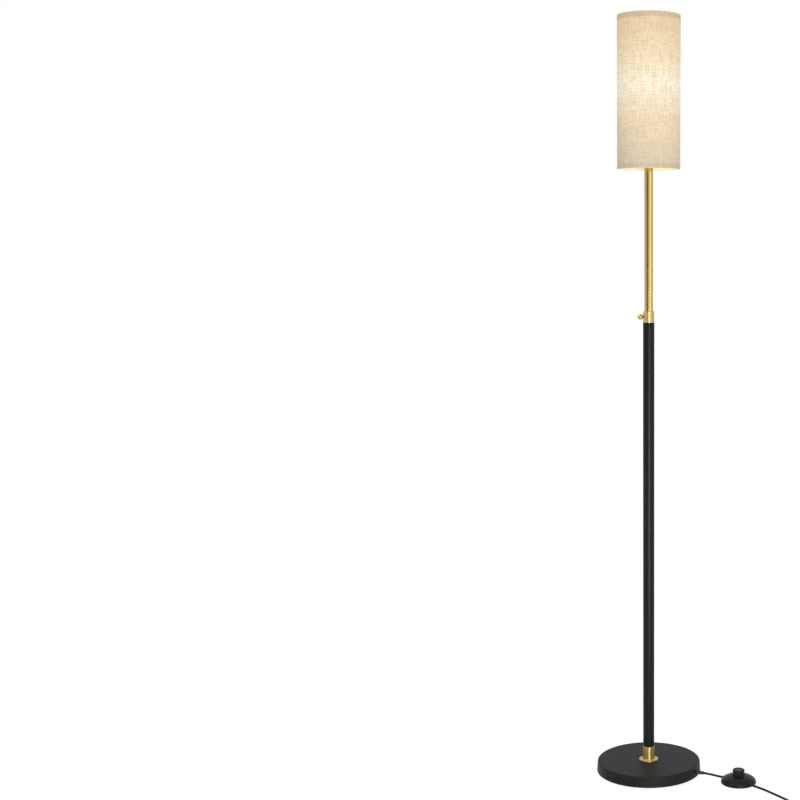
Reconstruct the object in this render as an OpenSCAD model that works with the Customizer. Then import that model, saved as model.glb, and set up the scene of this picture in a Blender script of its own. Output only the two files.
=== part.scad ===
// Telescopic floor lamp: a weighted round base, a black lower pole, a brass upper pole that slides
// and turns in it and is held by a ball-headed thumb screw, and a tall linen drum shade round one
// bulb. A foot switch lies on the lead. Millimetres, +Z up. The origin is on the floor, on the
// pole's axis. The upper pole is drawn fully out, the thumb screw tight and the button up.

/* [Base] */
// Diameter of the base at the floor
base_d = 230; // [200:1:280]
// Height of the base's top face above the floor
base_top_z = 26; // [25.5:0.5:36]
// Sheet thickness of the base cover
cover_t = 1.2; // [0.8:0.1:1.6]
// Radius of the cover's rounded top edge
cover_edge_r = 3; // [2:0.5:4]
// How much the cover's radius shrinks towards the top
cover_taper = 1.5; // [0:0.5:3]
// Thickness of the foam pad that the lamp stands on
pad_t = 3; // [2:0.5:4]
// Width of the rim of the base that overhangs the pad
pad_inset = 8; // [6:1:14]
// Thickness of the bottom plate
plate_t = 1; // [0.8:0.1:1.5]
// Thickness of the iron weight
weight_t = 12; // [8:0.5:12]
// Free ring between the weight and the cover, where the lead's bush sits
weight_gap = 9; // [9:0.5:14]
// Diameter of the recess under the weight for the nut
recess_d = 44; // [34:1:60]
// Depth of that recess
recess_h = 6; // [5:0.5:7]

/* [Poles] */
// Outside diameter of the lower pole
lower_d = 25; // [24:0.5:30]
// Wall of the lower pole
lower_wall = 1; // [0.8:0.1:1.1]
// Length of the lower pole
lower_l = 972; // [600:1:1100]
// Outside diameter of the upper pole
upper_d = 19; // [17:0.5:19.5]
// Wall of the upper pole
upper_wall = 0.8; // [0.7:0.1:1]
// Length of the upper pole
upper_l = 420; // [400:1:520]
// Length of the upper pole that stays below the collar's top when it is fully out
overlap = 74.5; // [66:0.5:90]
// How far the upper pole can be lowered
mast_travel = 280; // [100:5:290]

/* [Collars and fixings] */
// Height of the brass sleeve on the base
base_collar_h = 31.5; // [22:0.5:40]
// Wall of that sleeve
base_collar_wall = 0.9; // [0.6:0.1:1.5]
// Diameter of its flange
flange_d = 42; // [36:0.5:50]
// Thickness of its flange
flange_t = 2; // [1.5:0.1:3]
// Outside diameter of the collar on top of the lower pole
top_collar_d = 24; // [23.6:0.1:25]
// Height of that collar above the pole
top_collar_h = 24.5; // [18:0.5:32]
// Thickness of the nylon guide sleeve in the collar's spigot
guide_t = 0.8; // [0.6:0.1:0.9]
// Outside diameter of the hollow threaded stud and nipple
stud_d = 9.9; // [9.5:0.1:10.2]
// Bore of the stud and nipple
stud_bore = 6.6; // [5:0.1:7]
// Length of the threaded plugs in both poles
plug_in_l = 16; // [12:0.5:20]
// Width across the flats of the thin nuts
nut_af = 14; // [13:0.5:17]
// Height of the nut under the weight
nut_h = 4.5; // [3.5:0.5:4.5]
// Diameter of the washer under the weight
washer_d = 24; // [18:0.5:30]
// Thickness of that washer
washer_t = 1.5; // [1:0.1:1.5]

/* [Thumb screw] */
// Thread diameter of the thumb screw
screw_d = 5; // [4:0.1:6]
// Thread pitch of the thumb screw
screw_pitch = 0.8; // [0.7:0.05:1]
// Diameter of its ball head
ball_d = 12.6; // [10:0.1:15]
// Gap between the ball and the collar when the screw is tight
ball_gap = 0.4; // [0.4:0.1:2]
// Length of the nylon shoe between the screw and the upper pole
shoe_l = 0.8; // [0.6:0.1:1]
// Number of turns from tight to loose
screw_turns = 1; // [0.5:0.25:1]

/* [Glide] */
// Length of the nylon glide at the foot of the upper pole
glide_l = 20; // [12:0.5:26]
// Thickness of the snap rings that hold the glide
clip_t = 1; // [0.8:0.1:1.2]
// Depth of the grooves that the snap rings sit in
clip_groove = 0.4; // [0.3:0.05:0.45]
// Length of the pole below the lower snap ring
pole_lip = 0.7; // [0.5:0.1:2]

/* [Shade] */
// Outside diameter of the shade
shade_d = 135; // [125:1:170]
// Height of the shade
shade_h = 322; // [250:1:360]
// How far the shade's lower edge lies below the upper pole's top
shade_drop = 43; // [35:1:60]
// Thickness of the linen
linen_t = 0.6; // [0.4:0.1:1]
// Thickness of the white lining
lining_t = 0.4; // [0.3:0.1:0.6]
// Height of the turned hems at both edges
hem_h = 11; // [8:0.5:16]
// Width of the overlapped seam down the back
seam_w = 12; // [8:1:20]
// Thickness that the seam stands proud
seam_t = 0.3; // [0.2:0.1:0.5]
// Wire diameter of the shade's rings
ring_wire = 2.9; // [2.4:0.1:3.6]
// Wire diameter of the spider's arms
arm_wire = 3.2; // [2.6:0.1:4]
// Number of spider arms
arm_count = 3; // [3:1:4]
// Sheet thickness of the spider's hub
hub_t = 2; // [1.5:0.1:2.5]

/* [Lampholder] */
// Diameter of the lampholder's body
holder_d = 38.5; // [38:0.1:41]
// Wall of the lampholder's body
holder_wall = 3.6; // [3:0.1:3.7]
// Height of the lower cap
holder_cap_h = 20; // [18:0.5:26]
// Wall of the lower cap
holder_cap_wall = 1.8; // [1.2:0.1:2.2]
// Height of the body above the cap
holder_body_h = 38; // [30:0.5:44]
// Diameter of the flange that carries the shade
holder_flange_d = 48; // [45:0.5:56]
// Thickness of that flange
holder_flange_t = 3; // [2:0.5:4]
// Height of the threaded ring that clamps the shade
shade_ring_h = 8; // [6:0.5:12]
// Height of the insulating core that carries the contacts
core_h = 16; // [12:0.5:16]
// Length of the brass screw shell
shell_l = 24; // [20:0.5:26]
// Sheet thickness of the screw shell
shell_t = 0.4; // [0.3:0.05:0.5]

/* [Bulb] */
// Diameter of the bulb's globe
globe_d = 60; // [45:1:66]
// Wall of the globe
globe_wall = 1; // [0.8:0.1:1.5]
// Diameter of the bulb's screw cap
bulb_cap_d = 26.2; // [25.8:0.1:26.4]
// Length of the bulb's screw cap
bulb_cap_l = 20; // [18:0.5:22]
// Length of the bulb's plastic body
bulb_body_l = 34; // [28:0.5:40]
// Diameter of that body where it meets the globe
bulb_rim_d = 46; // [40:0.5:48]

/* [Foot switch] */
// Distance from the pole's axis to the switch, to the right
switch_x = 196; // [190:1:200]
// Distance from the pole's axis to the switch, to the front
switch_y = 74; // [70:1:78]
// Diameter of the switch
switch_d = 77; // [70:0.5:90]
// Height of the dome above the floor, without the button
switch_dome_h = 19.2; // [18:0.2:24]
// Height of the straight rim of the dome above the floor
switch_rim_h = 4; // [3.5:0.1:5]
// Wall of the dome
switch_wall = 2; // [1.5:0.1:2.5]
// Diameter of the push button
button_d = 26; // [24:0.5:30]
// Height of the button's top above the floor
button_top_z = 30; // [29:0.5:36]
// Travel of the button
button_travel = 3.5; // [2:0.1:3.8]
// Thickness of the switch's bottom plate
switch_plate_t = 1.8; // [1.2:0.1:2]
// Thickness of the switch's rubber pads
switch_pad_t = 0.8; // [0.5:0.1:1]

/* [Lead and plug] */
// Diameter of the lead
cord_d = 5; // [4.4:0.1:5]
// Diameter of the inner lead in the poles
inner_d = 4; // [3:0.1:4.6]
// Height of the hole in the base's side where the lead leaves
exit_z = 12; // [11.5:0.5:14]
// Length of the tapered bush outside the base
bush_out = 16; // [12:0.5:24]
// Length of the bush inside the base
bush_in = 5; // [4:0.5:6]
// Step between the turns of the coiled lead
coil_pitch = 5.6; // [5.6:0.1:6.5]
// Outer radius of the coil, to the lead's centre
coil_r = 40; // [40:0.1:44]
// Whole turns in the coil, before the last part turn
coil_turns = 7; // [5:1:8]
// Width of the strap round the coil
tie_w = 9; // [6:1:14]
// Thickness of the strap
tie_t = 0.6; // [0.4:0.1:0.6]
// Length of the plug's body
plug_l = 26; // [22:1:34]
// Width of the plug's body
plug_w = 22; // [20:1:28]
// Height of the plug's body
plug_h = 14; // [12:0.5:16]
// Length of the plug's tapered strain relief
relief_l = 25; // [20:1:40]
// Length of the plug's blades
blade_l = 17; // [15:0.5:19]
// Width of a blade
blade_w = 6.3; // [5.8:0.1:6.6]
// Thickness of a blade
blade_t = 1.5; // [1.3:0.1:1.7]
// Distance between the blades' centres
blade_span = 12.7; // [12:0.1:13.4]

/* [Fits] */
// Radial running clearance of a shaft or thread in its bore
run_gap = 0.08; // [0.04:0.01:0.1]
// Radial clearance between two fixed round pieces
seat_gap = 0.05; // [0.02:0.01:0.1]
// Clearance between pieces that pass each other
free_gap = 0.3; // [0.2:0.05:0.4]

/* [Hidden] */
$fn = 96;
eps = 0.01;

BLACK = "#26272a";
IRON = "#4a4a48";
STEEL = "#b9bcc0";
BRASS = "#d2b25c";
NYLON = "#e9e4d6";
WHITE = "#f4f2ec";
LINEN = "#ead9bd";
RUBBER = "#1b1b1c";
PVC = "#151516";
CREAM = "#efe6cf";

// Heights through the base
plate_top = pad_t + plate_t;
weight_top = base_top_z - cover_t;
weight_bottom = weight_top - weight_t;
recess_top = weight_bottom + recess_h;
nut_bottom = recess_top - washer_t - nut_h;
stud_tail = 0.8;
stud_bottom = nut_bottom - stud_tail;
base_r = base_d / 2;
pad_r = base_r - pad_inset;
plate_r = base_r - 0.3;
cover_top_r = base_r - cover_taper;
weight_r = base_r - cover_t - weight_gap;
clear_hole_r = stud_d / 2 + free_gap;
thread_r = stud_d / 2 + run_gap;

// Heights up the poles
pole_bottom = base_top_z + flange_t;
pole_top = pole_bottom + lower_l;
stud_top = pole_bottom + plug_in_l - 2;
lower_in_r = lower_d / 2 - lower_wall;
collar_top = pole_top + top_collar_h;
upper_bottom = collar_top - overlap;
upper_top = upper_bottom + upper_l;
upper_r = upper_d / 2;
bore_r = upper_r + run_gap;
spigot_r = lower_in_r - seat_gap;
guide_r = bore_r + guide_t;
low_clip_z = upper_bottom + pole_lip;
glide_z = low_clip_z + clip_t + free_gap;
top_clip_z = glide_z + glide_l + free_gap;
spigot_bottom = top_clip_z + clip_t + free_gap;
clip_r = lower_in_r - 2 * free_gap;
groove_r = upper_r - clip_groove;

// The thumb screw lies along -X at the middle of the collar's height
screw_z = pole_top + top_collar_h / 2;
shoe_tip = upper_r + seat_gap;
shank_tip = shoe_tip + shoe_l + seat_gap;
ball_near = top_collar_d / 2 + ball_gap;
ball_r = ball_d / 2;
ball_flat = 0.5;
ball_centre = ball_near - ball_flat + ball_r;
screw_r = screw_d / 2 - run_gap;
neck_r = 3;

// Heights in the lampholder and the bulb
holder_nut_h = 4;
holder_z = upper_top + holder_nut_h;
holder_join = holder_z + holder_cap_h;
holder_top = holder_join + holder_body_h;
holder_r = holder_d / 2;
holder_in_r = holder_r - holder_wall;
hub_z = holder_join + holder_flange_t;
shade_ring_z = hub_z + hub_t;
core_z = holder_join - 6;
core_top = core_z + core_h;
contact_t = 1.7;
bulb_tip_z = core_top + contact_t + free_gap;
bulb_tip_h = 1.5;
bulb_glass_h = 2.5;
bulb_cap_z = bulb_tip_z + bulb_tip_h + bulb_glass_h;
bulb_body_z = bulb_cap_z + bulb_cap_l;
bulb_rim_z = bulb_body_z + bulb_body_l;
globe_r = globe_d / 2;
bulb_rim_in_r = bulb_rim_d / 2 - 0.6;
globe_z = bulb_rim_z + sqrt(pow(globe_r, 2) - pow(bulb_rim_in_r, 2));

// Radii and heights in the shade
shade_r = shade_d / 2;
shade_z = upper_top - shade_drop;
shade_top = shade_z + shade_h;
linen_in_r = shade_r - linen_t;
lining_r = linen_in_r - seat_gap;
lining_in_r = lining_r - lining_t;
ring_r = lining_in_r - seat_gap - ring_wire / 2;
ring_inset = linen_t + seat_gap + ring_wire / 2;
hem_in_r = ring_r - ring_wire / 2 - seat_gap;
hub_in_r = holder_r + free_gap;
arm_start = [holder_flange_d / 2 + arm_wire / 2 + 0.4, 0, hub_z + hub_t / 2];
hub_r = arm_start[0] + arm_wire / 2 + 0.4;
arm_end = [ring_r, 0, shade_z + ring_inset];
arm_first_deg = 90;

// The foot switch
switch_c = [switch_x, -switch_y, 0];
switch_r = switch_d / 2;
switch_plate_z = switch_pad_t;
switch_floor = switch_plate_z + switch_plate_t;
switch_in_deg = 152;
switch_out_deg = -49;
switch_cord_z = switch_floor + cord_d / 2 + 0.4;
dome_r = switch_r - 0.5;
dome_h = switch_dome_h - switch_rim_h;
switch_plate_r = dome_r - switch_wall - free_gap;
button_r = button_d / 2;
button_hole_r = button_r + free_gap;
neck_wall = 1.7;
neck_low = 13;
flange_top = neck_low - free_gap;
button_wall = 1.6;
button_flange_t = 1.5;
button_flange_r = button_r + 2.2;
button_crown = 2.2;
box_top = flange_top - button_travel + 0.9;
box_w = 15;
box_d = 14;
post_r = 2.5;
post_bottom = box_top + button_travel + free_gap;
spring_mid_r = 7.5;
spring_wire = 1;
spring_turns = 5;
screw_ring_r = 28;
screw_degs = [52, 232];
post_out_r = 3.4;
pilot_r = 1.3;
cord_stop_r = 19;
contact_in_r = norm([box_w, box_d]) / 2 + 0.5;
grommet_r = cord_d / 2 + seat_gap + 0.8;

// Where the lead leaves the base, and where it meets the switch
exit_deg = -22;
exit_dir = [cos(exit_deg), sin(exit_deg), 0];
exit_point = base_r * exit_dir + [0, 0, exit_z];
bush_bore_r = cord_d / 2 + seat_gap;
bush_hole_r = bush_bore_r + 1.6;
bush_root_r = bush_hole_r + 1.3;
bush_tip_r = bush_bore_r + 0.9;
wall_slope = cover_taper / (base_top_z - cover_edge_r - plate_top);
wall_out_r = base_r - wall_slope * (exit_z - plate_top);
wall_in_r = wall_out_r - cover_t;
groove_w = cord_d + 3;
groove_top = exit_z + cord_d / 2 + 1;
block_out_r = base_r - 23;
block_l = 22;
block_w = 16;
block_h = 8;
switch_in_dir = [cos(switch_in_deg), sin(switch_in_deg), 0];
switch_out_dir = [cos(switch_out_deg), sin(switch_out_deg), 0];

// Route of the lead: the points between the base and the switch, then from the switch to the coil
to_switch_points = [
    [126, -50.3, 11.7], [131.2, -51.1, 11], [136.5, -51.4, 9.9], [141.6, -51.5, 8.7],
    [146.8, -51.7, 7.5], [152, -52.4, 6.5], [157.1, -53.8, 5.8]
];
run_points = [
    [228.3, -110.5, 5.5], [235.8, -117.5, 5.4], [243.2, -124.5, 5], [250.7, -131.5, 4.4],
    [258, -138.7, 3.6], [265, -146.1, 3], [271.7, -153.9, 2.6], [278, -162, 2.5],
    [284, -170.2, 2.5], [289.9, -178.6, 2.5], [295.7, -187, 2.5], [301.7, -195.4, 2.5],
    [307.5, -203.8, 2.5], [313, -212.5, 2.8], [318.5, -221.1, 3.2]
];
block_cord_z = plate_top + block_h / 2;
to_switch_route = concat(
    [for (p = [[0, 0], [3, 0], [6.5, 1.1], [10, 3.2], [13, 4.7]])
        (block_out_r + p[0]) * exit_dir + [0, 0, block_cord_z + p[1] * (exit_z - block_cord_z) / 5]],
    [for (r = [wall_in_r - bush_in, wall_out_r, wall_out_r + bush_out / 2, wall_out_r + bush_out])
        r * exit_dir + [0, 0, exit_z]],
    to_switch_points,
    [for (r = [switch_r, switch_r - 6, cord_stop_r]) switch_c + r * switch_in_dir + [0, 0, switch_cord_z]]
);

// The coil: two layers, clockwise from above, in to the middle, up a layer, and out again
coil_c = [299, -262, 0];
coil_in_deg = 38;
coil_out_deg = -90;
coil_z = cord_d / 2 + tie_t + free_gap;
coil_total = coil_turns + (coil_in_deg - coil_out_deg) / 360;
turn_back = 0.5;
coil_in_turns = (coil_total - turn_back) / 2;
loop_steps = 24;
coil_in_dir = [sin(coil_in_deg), -cos(coil_in_deg), 0];
coil_start = coil_c + [coil_r * cos(coil_in_deg), coil_r * sin(coil_in_deg), coil_z];
run_end = coil_start - cord_d * coil_in_dir;
run_route = concat(
    [for (r = [cord_stop_r, switch_r - 6, switch_r]) switch_c + r * switch_out_dir + [0, 0, switch_cord_z]],
    run_points,
    [run_end - cord_d * coil_in_dir, run_end]
);

function coil_radius(t) =
    t < coil_in_turns ? coil_r - coil_pitch * t
    : t > coil_total - coil_in_turns ? coil_r - coil_pitch * (coil_total - t)
    : let (u = (t - coil_total / 2) / turn_back)
        coil_r - coil_pitch * (coil_in_turns + turn_back / 4) + coil_pitch * turn_back * u * u;
function smooth(u) = u <= 0 ? 0 : u >= 1 ? 1 : u * u * (3 - 2 * u);
function coil_point(t) =
    let (a = coil_in_deg - 360 * t, r = coil_radius(t))
    coil_c + [r * cos(a), r * sin(a), coil_z + coil_pitch * smooth((t - coil_in_turns) / turn_back)];

plug_z = plug_h / 2;
coil_end = coil_point(coil_total);
relief_end_x = coil_end[0] - 20;
coil_loops = [for (k = [0 : floor(coil_total * loop_steps)]) coil_point(k / loop_steps)];
coil_route = concat(
    [run_end], coil_loops,
    [coil_end, coil_end - [cord_d, 0, 0], [coil_end[0] - 10, coil_end[1], coil_end[2] * 0.7 + plug_z * 0.3],
        [relief_end_x + cord_d, coil_end[1], plug_z], [relief_end_x, coil_end[1], plug_z]]
);
plug_c = [relief_end_x - relief_l, coil_end[1], plug_z];

// Least gap between the coil's turns, over points at least half a turn apart
coil_gap = min([for (i = [0 : len(coil_loops) - 1])
    for (j = [i + loop_steps / 2 : 1 : len(coil_loops) - 1]) norm(coil_loops[i] - coil_loops[j])]) - cord_d;
echo(str("Least gap between the turns of the coil: ", coil_gap, " mm"));

// Length of a route, and a tube swept along it
function route_length(p, i = 0) = i >= len(p) - 1 ? 0 : norm(p[i + 1] - p[i]) + route_length(p, i + 1);
echo(str("Length of the lead, base to switch: ", route_length(to_switch_route), " mm"));
echo(str("Length of the lead, switch to plug: ", route_length(run_route) + route_length(coil_route), " mm"));

function unit(v) = v / norm(v);
function tangent(p, i) = unit(p[min(i + 1, len(p) - 1)] - p[max(i - 1, 0)]);
function tube_points(p, r, sides, up) = [
    for (i = [0 : len(p) - 1])
        let (t = tangent(p, i), s = unit(cross(t, up)), u = cross(s, t))
        for (k = [0 : sides - 1]) p[i] + r * (cos(360 * k / sides) * s + sin(360 * k / sides) * u)
];
function tube_faces(rings, sides) = concat(
    [for (i = [0 : rings - 2]) for (k = [0 : sides - 1])
        let (a = i * sides + k, b = i * sides + (k + 1) % sides)
        each [[a, b, a + sides], [b, b + sides, a + sides]]],
    [for (k = [1 : sides - 2]) [0, k + 1, k]],
    [for (k = [1 : sides - 2]) let (a = (rings - 1) * sides) [a, a + k, a + k + 1]]
);
module tube(path, d, sides, up = [0, 0, 1]) {
    polyhedron(tube_points(path, d / 2, sides, up), tube_faces(len(path), sides));
}

// Common shapes
module ring(r_out, r_in, h, z = 0) {
    translate([0, 0, z]) difference() {
        cylinder(r = r_out, h = h);
        translate([0, 0, -1]) cylinder(r = r_in, h = h + 2);
    }
}
module hex_nut(af, r_in, h, z = 0) {
    translate([0, 0, z]) difference() {
        cylinder(d = af / cos(30), h = h, $fn = 6);
        translate([0, 0, -1]) cylinder(r = r_in, h = h + 2, $fn = 96);
    }
}
module torus(r, wire, z) {
    translate([0, 0, z]) rotate_extrude() translate([r, 0]) circle(d = wire, $fn = 32);
}
module rounded_rect(w, h, r) {
    square([w - 2 * r, h], center = true);
    square([w, h - 2 * r], center = true);
    for (x = [-1, 1]) for (y = [-1, 1]) translate([x * (w / 2 - r), y * (h / 2 - r)]) circle(r = r, $fn = 32);
}
// A cylinder from a to b
module rod(a, b, d) {
    v = b - a;
    translate(a) rotate([0, acos(v[2] / norm(v)), atan2(v[1], v[0])]) cylinder(d = d, h = norm(v), $fn = 32);
}
// Puts its children on the line along which the lead leaves the base, with x along that line
module along_exit() {
    rotate([0, 0, exit_deg]) children();
}

// Base
module base_cover() {
    color(BLACK) difference() {
        rotate_extrude($fn = 180) difference() {
            cover_outline(0);
            cover_outline(cover_t);
        }
        translate([0, 0, weight_top - 1]) cylinder(r = clear_hole_r, h = cover_t + 2);
        along_exit() translate([wall_in_r - 5, 0, exit_z]) rotate([0, 90, 0])
            cylinder(r = bush_hole_r + seat_gap, h = 15, $fn = 48);
    }
}
// Half section of the cover, drawn inset by a wall thickness
module cover_outline(inset) {
    r = max(cover_edge_r - inset, 0.2);
    top = base_top_z - inset;
    low = plate_top - (inset > 0 ? 1 : 0);
    polygon(concat(
        [[0, low], [base_r - inset, low]],
        [for (a = [0 : 15 : 90]) [cover_top_r - inset - r + r * cos(a), top - r + r * sin(a)]],
        [[0, top]]
    ));
}
module base_weight() {
    color(IRON) difference() {
        translate([0, 0, weight_bottom]) cylinder(r = weight_r, h = weight_t, $fn = 180);
        translate([0, 0, weight_bottom - 1]) cylinder(r = clear_hole_r, h = weight_t + 2);
        translate([0, 0, weight_bottom - 1]) cylinder(d = recess_d, h = recess_h + 1);
        along_exit() translate([block_out_r - 4, -groove_w / 2, weight_bottom - 1])
            cube([base_r, groove_w, groove_top - weight_bottom + 1]);
    }
}
module base_plate() {
    color(STEEL) translate([0, 0, pad_t])
        cylinder(r = plate_r, h = plate_t, $fn = 180);
}
module base_pad() {
    color(RUBBER) cylinder(r = pad_r, h = pad_t, $fn = 180);
}
module base_collar() {
    sleeve_r = lower_d / 2 + seat_gap + base_collar_wall;
    dish = flange_t * 0.45;
    color(BRASS) difference() {
        rotate_extrude() polygon([
            [clear_hole_r, base_top_z], [flange_d / 2, base_top_z],
            [flange_d / 2, pole_bottom - 0.3], [flange_d / 2 - 0.4, pole_bottom],
            [flange_d / 2 - 1.2, pole_bottom], [flange_d / 2 - 2.2, pole_bottom - dish],
            [sleeve_r + 1.6, pole_bottom - dish], [sleeve_r + 0.4, pole_bottom],
            [sleeve_r, pole_bottom + 1], [sleeve_r, base_top_z + base_collar_h - 0.3],
            [sleeve_r - 0.3, base_top_z + base_collar_h], [clear_hole_r, base_top_z + base_collar_h]
        ]);
        translate([0, 0, pole_bottom]) cylinder(r = lower_d / 2 + seat_gap, h = base_collar_h);
    }
}
module pole_stud() {
    color(STEEL) ring(stud_d / 2, stud_bore / 2, stud_top - stud_bottom, stud_bottom);
}
module stud_washer() {
    color(STEEL) ring(washer_d / 2, clear_hole_r, washer_t, recess_top - washer_t);
}
module stud_nut() {
    color(STEEL) hex_nut(nut_af, thread_r, nut_h, nut_bottom);
}
// The bush is snapped into the cover's side: a collar inside, a flange and a tapered tail outside
module cord_bush() {
    slack = 0.5;
    color(RUBBER) along_exit() translate([wall_in_r, 0, exit_z]) rotate([0, 90, 0]) difference() {
        rotate_extrude($fn = 48) polygon([
            [0, -bush_in], [bush_hole_r - 0.6, -bush_in], [bush_hole_r + 0.6, -bush_in + 3],
            [bush_hole_r + 0.6, -slack], [bush_hole_r, -slack], [bush_hole_r, cover_t + slack],
            [bush_root_r, cover_t + slack], [bush_root_r, cover_t + slack + 1.5],
            [bush_root_r - 1, cover_t + slack + 2.1], [bush_tip_r, cover_t + bush_out], [0, cover_t + bush_out]
        ]);
        translate([0, 0, -bush_in - 1]) cylinder(r = bush_bore_r, h = bush_in + cover_t + bush_out + 2, $fn = 48);
    }
}
module terminal_block() {
    color(WHITE) along_exit() difference() {
        translate([block_out_r - block_l, -block_w / 2, plate_top]) cube([block_l - eps, block_w, block_h]);
        for (x = [-6, -16]) for (y = [-4, 4]) translate([block_out_r + x, y, plate_top + block_h - 2])
            cylinder(r = 2.2, h = 3, $fn = 32);
    }
}
module block_screws() {
    color(STEEL) along_exit() for (x = [-6, -16]) for (y = [-4, 4])
        translate([block_out_r + x, y, plate_top + block_h - 2]) difference() {
            cylinder(r = 2.2 - seat_gap, h = 1.6, $fn = 32);
            translate([-3, -0.3, 1]) cube([6, 0.6, 1]);
        }
}
// The inner lead runs under the weight to the middle, turns up and enters the hollow stud
module base_lead() {
    bend_r = 6;
    low = block_cord_z;
    path = concat(
        [for (x = [block_out_r - block_l, 58, 46, 34, 22, 12, bend_r]) [x, 0, low]],
        [for (a = [18 : 18 : 90]) [bend_r - bend_r * sin(a), 0, low + bend_r - bend_r * cos(a)]],
        [for (z = [low + bend_r + 8, stud_top - 4, stud_top]) [0, 0, z]]
    );
    color(PVC) along_exit() tube(path, inner_d, 8, [0, 1, 0]);
}

// Lower pole and its collar
module pole_foot() {
    color(STEEL) ring(lower_in_r - seat_gap, thread_r, plug_in_l, pole_bottom);
}
module lower_pole() {
    color(BLACK) ring(lower_d / 2, lower_in_r, lower_l, pole_bottom);
}
module top_collar() {
    c = 0.6;
    color(BRASS) difference() {
        rotate_extrude() polygon([
            [bore_r, spigot_bottom], [spigot_r - 0.4, spigot_bottom], [spigot_r, spigot_bottom + 0.4],
            [spigot_r, pole_top], [top_collar_d / 2, pole_top], [top_collar_d / 2, collar_top - c],
            [top_collar_d / 2 - c, collar_top], [bore_r, collar_top]
        ]);
        translate([0, 0, spigot_bottom - 1]) cylinder(r = guide_r + seat_gap, h = pole_top - spigot_bottom - 1);
        translate([-top_collar_d, 0, screw_z]) rotate([0, 90, 0])
            cylinder(r = screw_d / 2, h = top_collar_d, $fn = 48);
    }
}
module guide_bush() {
    color(NYLON) ring(guide_r, bore_r, pole_top - spigot_bottom - 2 - seat_gap, spigot_bottom);
}
// The slack lead in the lower pole: it folds together as the upper pole comes down
module lead_lower() {
    color(PVC) translate([0, 0, stud_top]) cylinder(d = inner_d, h = upper_bottom - stud_top, $fn = 24);
}

// Thumb screw and its shoe, drawn along +Z and turned to lie along -X
module along_screw() {
    translate([0, 0, screw_z]) rotate([0, -90, 0]) children();
}
module thumb_screw() {
    groove = 0.5;
    color(BRASS) along_screw() difference() {
        union() {
            translate([0, 0, shank_tip]) cylinder(r = screw_r, h = ball_centre - shank_tip, $fn = 48);
            translate([0, 0, ball_near - ball_gap + free_gap]) cylinder(r = neck_r, h = ball_gap, $fn = 48);
            intersection() {
                translate([0, 0, ball_centre]) sphere(r = ball_r);
                translate([0, 0, ball_near]) cylinder(r = ball_r + 1, h = 2 * ball_r + 1);
            }
        }
        translate([0, 0, ball_centre]) rotate_extrude() translate([ball_r, 0]) circle(r = groove, $fn = 24);
        translate([0, 0, ball_centre + ball_r - 0.7]) cylinder(r1 = 0.4, r2 = 1.6, h = 1, $fn = 48);
    }
}
module clamp_shoe() {
    color(NYLON) along_screw() translate([0, 0, shoe_tip])
        cylinder(r = screw_d / 2 - 2 * run_gap, h = shoe_l, $fn = 48);
}

// Upper pole, and the glide that runs in the lower pole
module glide_bush() {
    color(NYLON) ring(lower_in_r - run_gap, bore_r, glide_l, glide_z);
}
module upper_pole() {
    color(BRASS) difference() {
        ring(upper_r, upper_r - upper_wall, upper_l, upper_bottom);
        for (z = [low_clip_z, top_clip_z]) ring(upper_r + 1, groove_r, clip_t, z);
    }
}
module glide_clips() {
    color(STEEL) for (z = [low_clip_z, top_clip_z]) difference() {
        ring(clip_r, groove_r + seat_gap, clip_t - seat_gap, z + seat_gap / 2);
        rotate([0, 0, 35]) translate([0, -1.5, z - 1]) cube([clip_r + 1, 3, clip_t + 2]);
    }
}
module pole_top_plug() {
    color(STEEL) ring(upper_r - upper_wall - seat_gap, thread_r, plug_in_l, upper_top - plug_in_l);
}
module socket_nipple() {
    low = upper_top - plug_in_l + 2;
    color(STEEL) ring(stud_d / 2, stud_bore / 2, holder_z + holder_cap_wall + 5 - low, low);
}
module nipple_nut() {
    color(STEEL) hex_nut(nut_af, thread_r, holder_nut_h, upper_top);
}
module lead_upper() {
    color(PVC) translate([0, 0, upper_bottom]) cylinder(d = inner_d, h = core_z - upper_bottom, $fn = 24);
}

// Lampholder
module lampholder_cap() {
    out = [for (a = [0 : 15 : 90]) [14 + (holder_r - 14) * sin(a), holder_z + 10 - 10 * cos(a)]];
    cap_in_r = holder_r - holder_cap_wall;
    color(BLACK) rotate_extrude() polygon(concat(
        [[thread_r, holder_z]], out, [[holder_r, holder_join], [cap_in_r, holder_join]],
        [[cap_in_r, holder_z + 9], [cap_in_r - 4, holder_z + holder_cap_wall],
            [thread_r, holder_z + holder_cap_wall]]
    ));
}
module lampholder_body() {
    color(BLACK) difference() {
        union() {
            translate([0, 0, holder_join]) cylinder(d = holder_flange_d, h = holder_flange_t);
            translate([0, 0, holder_join]) cylinder(r = holder_r, h = holder_body_h);
        }
        translate([0, 0, holder_join - 1]) cylinder(r = holder_in_r, h = holder_body_h + 2);
    }
}
module lampholder_core() {
    color(CREAM) difference() {
        translate([0, 0, core_z]) cylinder(r = holder_in_r - seat_gap, h = core_h);
        for (s = [-1, 1]) translate([s * 8 - 1.5, 5, core_z - 1]) cube([3, 6, 4]);
    }
}
module screw_shell() {
    shell_in_r = bulb_cap_d / 2 + free_gap;
    color(BRASS) ring(shell_in_r + shell_t, shell_in_r, shell_l, core_top);
}
module centre_contact() {
    color(BRASS) translate([0, 0, core_top]) cylinder(r = 3.5, h = contact_t, $fn = 32);
}
module holder_terminals() {
    color(STEEL) for (s = [-1, 1]) translate([s * 8, 8, core_z]) {
        translate([-1.4, -2.9, 0]) cube([2.8, 5.8, 2.9]);
        translate([0, 0, -1.6]) cylinder(r = 1.4, h = 1.6, $fn = 24);
    }
}

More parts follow.
